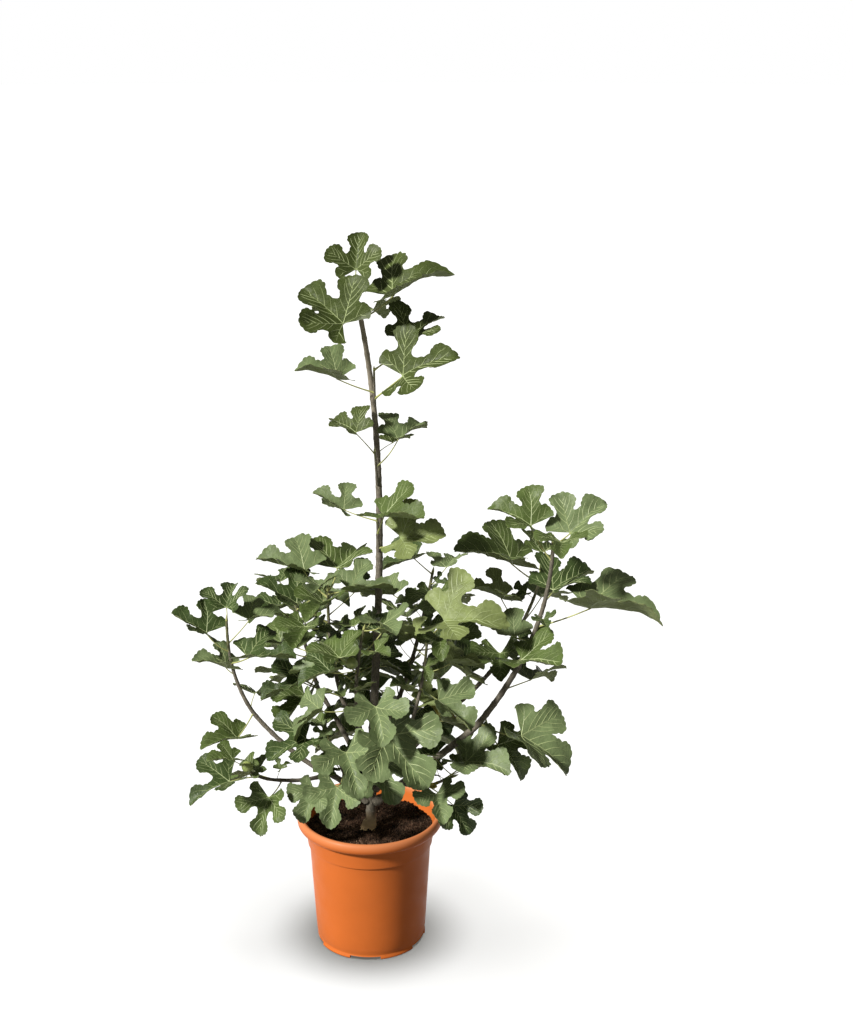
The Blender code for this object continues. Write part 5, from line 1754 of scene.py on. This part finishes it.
class FIG_OT_pot(bpy.types.Operator):
    """Make the pot with its rolled rim, collar, nick and notched foot."""
    bl_idname = "fig.pot"
    bl_label = "Pot"

    def execute(self, context):
        settings = context.scene.fig_pot
        top, rim_r = settings.height, settings.rim_radius
        section = [(r, 0.0, z) for r, z in shell_profile(top, rim_r)]
        mesh = shaped("pot_shell", section, [], edges=[(i, i + 1) for i in range(len(section) - 1)])
        shell = link("pot_shell", mesh)
        screw = shell.modifiers.new("turn", "SCREW")
        screw.steps = screw.render_steps = POT_FINE_STEPS
        screw.use_merge_vertices = True
        screw.merge_threshold = 1e-5
        shell.data = evaluated_mesh(shell)
        shell.modifiers.clear()
        cutters = [self.notch(i) for i in range(NOTCH_COUNT)] + [self.drain(i) for i in range(NOTCH_COUNT)]
        cutters.append(self.nick(top, rim_r))
        for cutter in cutters:
            cut = shell.modifiers.new(cutter.name, "BOOLEAN")
            cut.operation = "DIFFERENCE"
            cut.solver = "EXACT"
            cut.object = cutter
        bake(shell)
        for cutter in cutters:
            bpy.data.objects.remove(cutter, do_unlink=True)
        shell.data.materials.clear()
        shell.data.materials.append(pot_plastic(tuple(settings.colour)))
        shell.data.polygons.foreach_set("use_smooth", [True] * len(shell.data.polygons))
        shell.data.set_sharp_from_angle(angle=POT_SHARP)
        settle(shell, "pot", "pot")
        self.mould_line(top, rim_r, shell.data.materials[0])
        return {"FINISHED"}

    def block(self, name, ring, low, high):
        """Closed prism over a flat ring."""
        count = len(ring)
        corners = [(x, y, z) for z in (low, high) for x, y in ring]
        faces = [tuple(reversed(range(count))), tuple(range(count, 2 * count))]
        faces += [(i, (i + 1) % count, count + (i + 1) % count, count + i) for i in range(count)]
        return link(name, shaped(name, corners, faces))

    def notch(self, index):
        """Wedge that opens the foot ring between two feet."""
        middle = NOTCH_FIRST + index * math.tau / NOTCH_COUNT
        angles = [middle + NOTCH_ANGLE * (i / 12 - 0.5) for i in range(13)]
        inner_r, outer_r = FOOT_EDGE_R - FOOT_WIDTH - 0.004, FOOT_EDGE_R + 0.004
        ring = [on_circle(outer_r, a) for a in angles] + [on_circle(inner_r, a) for a in reversed(angles)]
        return self.block(f"notch_{index}", ring, -0.01, FOOT_HEIGHT - 0.0015)

    def drain(self, index):
        """Round drain hole through the floor."""
        x, y = on_circle(DRAIN_CIRCLE_R, NOTCH_FIRST + index * math.tau / NOTCH_COUNT)
        turns = [on_circle(DRAIN_R, math.tau * i / 24) for i in range(24)]
        ring = [(x + across, y + along) for across, along in turns]
        return self.block(f"drain_{index}", ring, -0.004, 0.02)

    def nick(self, top, rim_r):
        """Small V in the rim's inner edge at the front."""
        angle = math.degrees(RIM_NICK_ANGLE)
        out, side = direction(angle, 0), direction(angle + 90, 0)
        near, far = rim_r - 2 * RIM_HALF_WIDTH - 0.003, rim_r - RIM_HALF_WIDTH
        shape = bmesh.new()
        for reach, wide, low in ((near, 0.0075, -RIM_NICK_DEPTH - 0.003), (far, 0.0012, -0.0008)):
            for across, z in ((-wide, 0.003), (0.0, low), (wide, 0.003)):
                shape.verts.new(out * reach + side * across + Vector((0, 0, top + z)))
        bmesh.ops.convex_hull(shape, input=shape.verts)
        bmesh.ops.recalc_face_normals(shape, faces=shape.faces)
        mesh = bpy.data.meshes.new("nick")
        shape.to_mesh(mesh)
        shape.free()
        return link("nick", mesh)

    def mould_line(self, top, rim_r, material):
        """Fine raised line over the rim, where the mould closed."""
        out = direction(math.degrees(MOULD_LINE_ANGLE), 0)
        points = [out * r + Vector((0, 0, z)) for r, z in rim_arc(top, rim_r, 0.00025, 160, -50, 20)]
        corners, faces = tube_shape(points, [0.0004] * len(points), 6)
        settle(link("pot_mould_line", shaped("pot_mould_line", corners, faces, [material])), "pot")


class FIG_OT_soil(bpy.types.Operator):
    """Make the soil with crumbs and fibres."""
    bl_idname = "fig.soil"
    bl_label = "Soil"

    def execute(self, context):
        settings = context.scene.fig_soil
        dark = tuple(settings.colour)
        earth_dark = earth("soil_dark", shade(dark, 0.4), shade(dark, 6.5))
        corners, top_faces = self.surface()
        steps = SOIL_FINE_STEPS
        deep = len(corners)
        last = deep - steps
        floor_r = wall_inner_radius(SOIL_LEVEL - SOIL_SIDE) - 0.0015
        foot = [(*on_circle(floor_r, math.tau * s / steps), SOIL_LEVEL - SOIL_SIDE) for s in range(steps)]
        faces = top_faces + [(last + s, deep + s, deep + (s + 1) % steps, last + (s + 1) % steps)
                             for s in range(steps)]
        faces.append(tuple(reversed(range(deep, deep + steps))))
        mesh = shaped("soil_body", corners + foot, faces, [earth_dark], smooth=True)
        settle(link("soil_body", mesh), "soil", "soil")
        chip, fibre = earth("soil_chip", *CHIP_COLOURS), earth("soil_fibre", *FIBRE_COLOURS)
        kinds = (("soil_crumbs", False, settings.crumbs, 1.0, earth_dark, 2),
                 ("soil_chips", False, settings.crumbs * CHIP_SHARE, 0.9, chip, 7),
                 ("soil_fibres", True, settings.fibres, 0.8, fibre, 4))
        for name, fibres, density, size, skin, seed in kinds:
            item = link(name, shaped(name, corners, top_faces))
            apply_tree(item, scatter_tree(fibres), {"Density": density, "Size": settings.crumb_size * size,
                                                    "Seed": seed, "Earth": skin})
            self.hold_in_wall(item.data)
            settle(item, "soil", "soil")
        return {"FINISHED"}

    def surface(self):
        """Corners and faces of the lumpy top, in rings from the middle out."""
        edge = wall_inner_radius(SOIL_LEVEL) + 0.0004
        rings, steps = SOIL_FINE_RINGS, SOIL_FINE_STEPS
        corners = [(0.0, 0.0, SOIL_LEVEL)]
        for ring in range(1, rings + 1):
            for step in range(steps):
                x, y = on_circle(edge * ring / rings, math.tau * step / steps)
                lump = sum(noise.noise(Vector((x * scale, y * scale, key))) * height
                           for scale, key, height in SOIL_LUMPS)
                corners.append((x, y, soil_height(x, y) + lump - 0.001))
        faces = [(0, 1 + s, 1 + (s + 1) % steps) for s in range(steps)]
        for ring in range(rings - 1):
            a, b = 1 + ring * steps, 1 + (ring + 1) * steps
            faces += [(a + s, b + s, b + (s + 1) % steps, a + (s + 1) % steps) for s in range(steps)]
        return corners, faces

    def hold_in_wall(self, mesh):
        """Keep crumbs out of the pot's wall."""
        for vertex in mesh.vertices:
            radius = math.hypot(vertex.co.x, vertex.co.y)
            most = wall_inner_radius(vertex.co.z) - 0.0001
            if radius > most:
                vertex.co.x *= most / radius
                vertex.co.y *= most / radius


class FIG_OT_limbs(bpy.types.Operator):
    """Make the bark of the leader, boughs and shoots, with their leaf scars."""
    bl_idname = "fig.limbs"
    bl_label = "Limbs"

    def execute(self, context):
        settings = context.scene.fig_bark
        dice = random.Random(LOOK_SEED)
        bark = bark_skin("bark", tuple(settings.colour), 0.82)
        leader_bark = bark_skin("leader_bark", tuple(settings.colour), 0.82, tuple(settings.foot_tone_and_painted_sun))
        young = bark_skin("young_bark", tuple(settings.young_colour), 0.65)
        guides = limb_guides(growth())
        values = {"Relief": settings.relief, "Grain": settings.grain, "Bark": bark, "Young bark": young}
        scars = []
        noded = []
        for guide in guides:
            guide, found = with_nodes(guide, dice)
            noded.append(guide)
            scars += found
        leader = link("leader_bark", guide_mesh("leader_bark", noded[:1]))
        apply_tree(leader, limb_tree(), {**values, "Sides": LEADER_SIDES, "Bark": leader_bark})
        settle(leader, "bark", "trunk")
        boughs = link("bough_bark", guide_mesh("bough_bark", noded[1:]))
        apply_tree(boughs, limb_tree(), values)
        settle(boughs, "bark", *[b.name for b in BOUGHS], *[s.name for s in SHOOTS])
        knuckles = link("bark_knuckles", point_mesh("bark_knuckles", scars))
        apply_tree(knuckles, knuckle_tree(), {"Bark": bark})
        settle(knuckles, "bark")
        return {"FINISHED"}


class FIG_OT_leaves(bpy.types.Operator):
    """Make the leaves and their stalks, joined by group."""
    bl_idname = "fig.leaves"
    bl_label = "Leaves"

    def execute(self, context):
        settings = context.scene.fig_leaf
        plan = growth()
        vein_tint = tuple(settings.vein_colour)
        skins = {name: leaf_face("leaf_" + name, tuple(getattr(settings, name)), rough, vein_tint)
                 for name, rough in (("olive", 0.50), ("mid", 0.46), ("grey", 0.48), ("dark", 0.42),
                                     ("fresh", 0.50), ("old", 0.60))}
        names = list(skins)
        materials = list(skins.values())
        # Undersides: their own paler green plus painted light shining through the blade
        materials.append(leaf_face("leaf_under", tuple(settings.under), 0.7, vein_tint))
        materials.append(smooth_skin("leaf_vein", vein_tint))
        under, vein = len(names), len(names) + 1
        stalk = smooth_skin("leaf_stalk", tuple(settings.stalk_colour))
        dice = random.Random(LOOK_SEED + 1)
        for group, shoots in GROUPS.items():
            sheet, guides = LeafSheet(), []
            for shoot in shoots:
                for number, leaf in enumerate(plan.crown.leaves[shoot]):
                    colours, weights = zip(*PALETTES[group])
                    colour = dice.choices(colours, weights)[0]
                    colour = LEAF_COLOURS.get(shoot, {}).get(number, colour)
                    pattern = patterns()[dice.randrange(PATTERN_COUNT)]
                    sheet.add_leaf(leaf, pattern, dice, names.index(colour), under, vein, settings)
                    guides.append(stalk_guide(leaf, dice, settings))
            mesh = sheet.mesh("leaf_blades_" + group, materials)
            keep_in_box(mesh)
            settle(link("leaf_blades_" + group, mesh), "foliage", *shoots)
            stalks = link("leaf_stalks_" + group, guide_mesh("leaf_stalks_" + group, guides))
            apply_tree(stalks, limb_tree(), {"Sides": STALK_SIDES, "Relief": 0.0, "Grain": 0.0,
                                             "Bark": stalk, "Young bark": stalk})
            settle(stalks, "foliage", *shoots)
        return {"FINISHED"}


class FIG_OT_fruit(bpy.types.Operator):
    """Make the young figs and the pointed buds."""
    bl_idname = "fig.fruit"
    bl_label = "Figs and buds"

    def execute(self, context):
        paths = growth().paths
        figs = [(paths[shoot](share), direction(turn, 35), FIG_R) for shoot, share, turn in FIGS]
        buds = []
        for shoot in SHOOTS:
            along = (paths[shoot.name](1.0) - paths[shoot.name](0.9)).normalized()
            buds.append((Vector(shoot.tip) - along * 0.002, along, shoot.tip_r * 1.12))
        green = bpy.data.materials["leaf_stalk"]
        for name, spots, profile, skin in (("young_figs", figs, FIG_PROFILE, fig_skin()),
                                           ("shoot_buds", buds, BUD_PROFILE, green)):
            corners, faces = [], []
            for foot, along, size in spots:
                turned, rings = tube_shape([foot + along * (h * size) for r, h in profile],
                                           [r * size for r, h in profile], 18)
                faces += [tuple(len(corners) + i for i in ring) for ring in rings]
                corners += turned
            mesh = shaped(name, corners, faces, [skin], smooth=True)
            keep_in_box(mesh)
            settle(link(name, mesh), "foliage")
        return {"FINISHED"}


class FIG_PT_panel(bpy.types.Panel):
    """Fig tree's steps and settings."""
    bl_idname = "FIG_PT_panel"
    bl_label = "Fig Tree"
    bl_space_type = "VIEW_3D"
    bl_region_type = "UI"
    bl_category = "Fig Tree"

    def draw(self, context):
        for operator, group in STEPS:
            box = self.layout.box()
            box.operator(operator)
            if group:
                settings = getattr(context.scene, group)
                for name in settings.__annotations__:
                    box.prop(settings, name)


# Steps in order: operator, settings
STEPS = [("fig.stage", "fig_stage"), ("fig.pot", "fig_pot"), ("fig.soil", "fig_soil"),
         ("fig.limbs", "fig_bark"), ("fig.leaves", "fig_leaf"), ("fig.fruit", None)]
GROUPS_OF_SETTINGS = {"fig_stage": StageSettings, "fig_pot": PotSettings, "fig_soil": SoilSettings,
                      "fig_bark": BarkSettings, "fig_leaf": LeafSettings}
CLASSES = [*GROUPS_OF_SETTINGS.values(), FIG_OT_stage, FIG_OT_pot, FIG_OT_soil, FIG_OT_limbs,
           FIG_OT_leaves, FIG_OT_fruit, FIG_PT_panel]

def register():
    """Register the classes and their settings."""
    for item in CLASSES:
        bpy.utils.register_class(item)
    for name, group in GROUPS_OF_SETTINGS.items():
        setattr(bpy.types.Scene, name, PointerProperty(type=group))


def unregister():
    """Remove the settings and the classes."""
    for name in GROUPS_OF_SETTINGS:
        delattr(bpy.types.Scene, name)
    for item in reversed(CLASSES):
        bpy.utils.unregister_class(item)


def main():
    """Run every step."""
    register()
    bpy.ops.fig.stage()
    bpy.ops.fig.pot()
    bpy.ops.fig.soil()
    bpy.ops.fig.limbs()
    bpy.ops.fig.leaves()
    bpy.ops.fig.fruit()


if __name__ == "__main__":
    main()
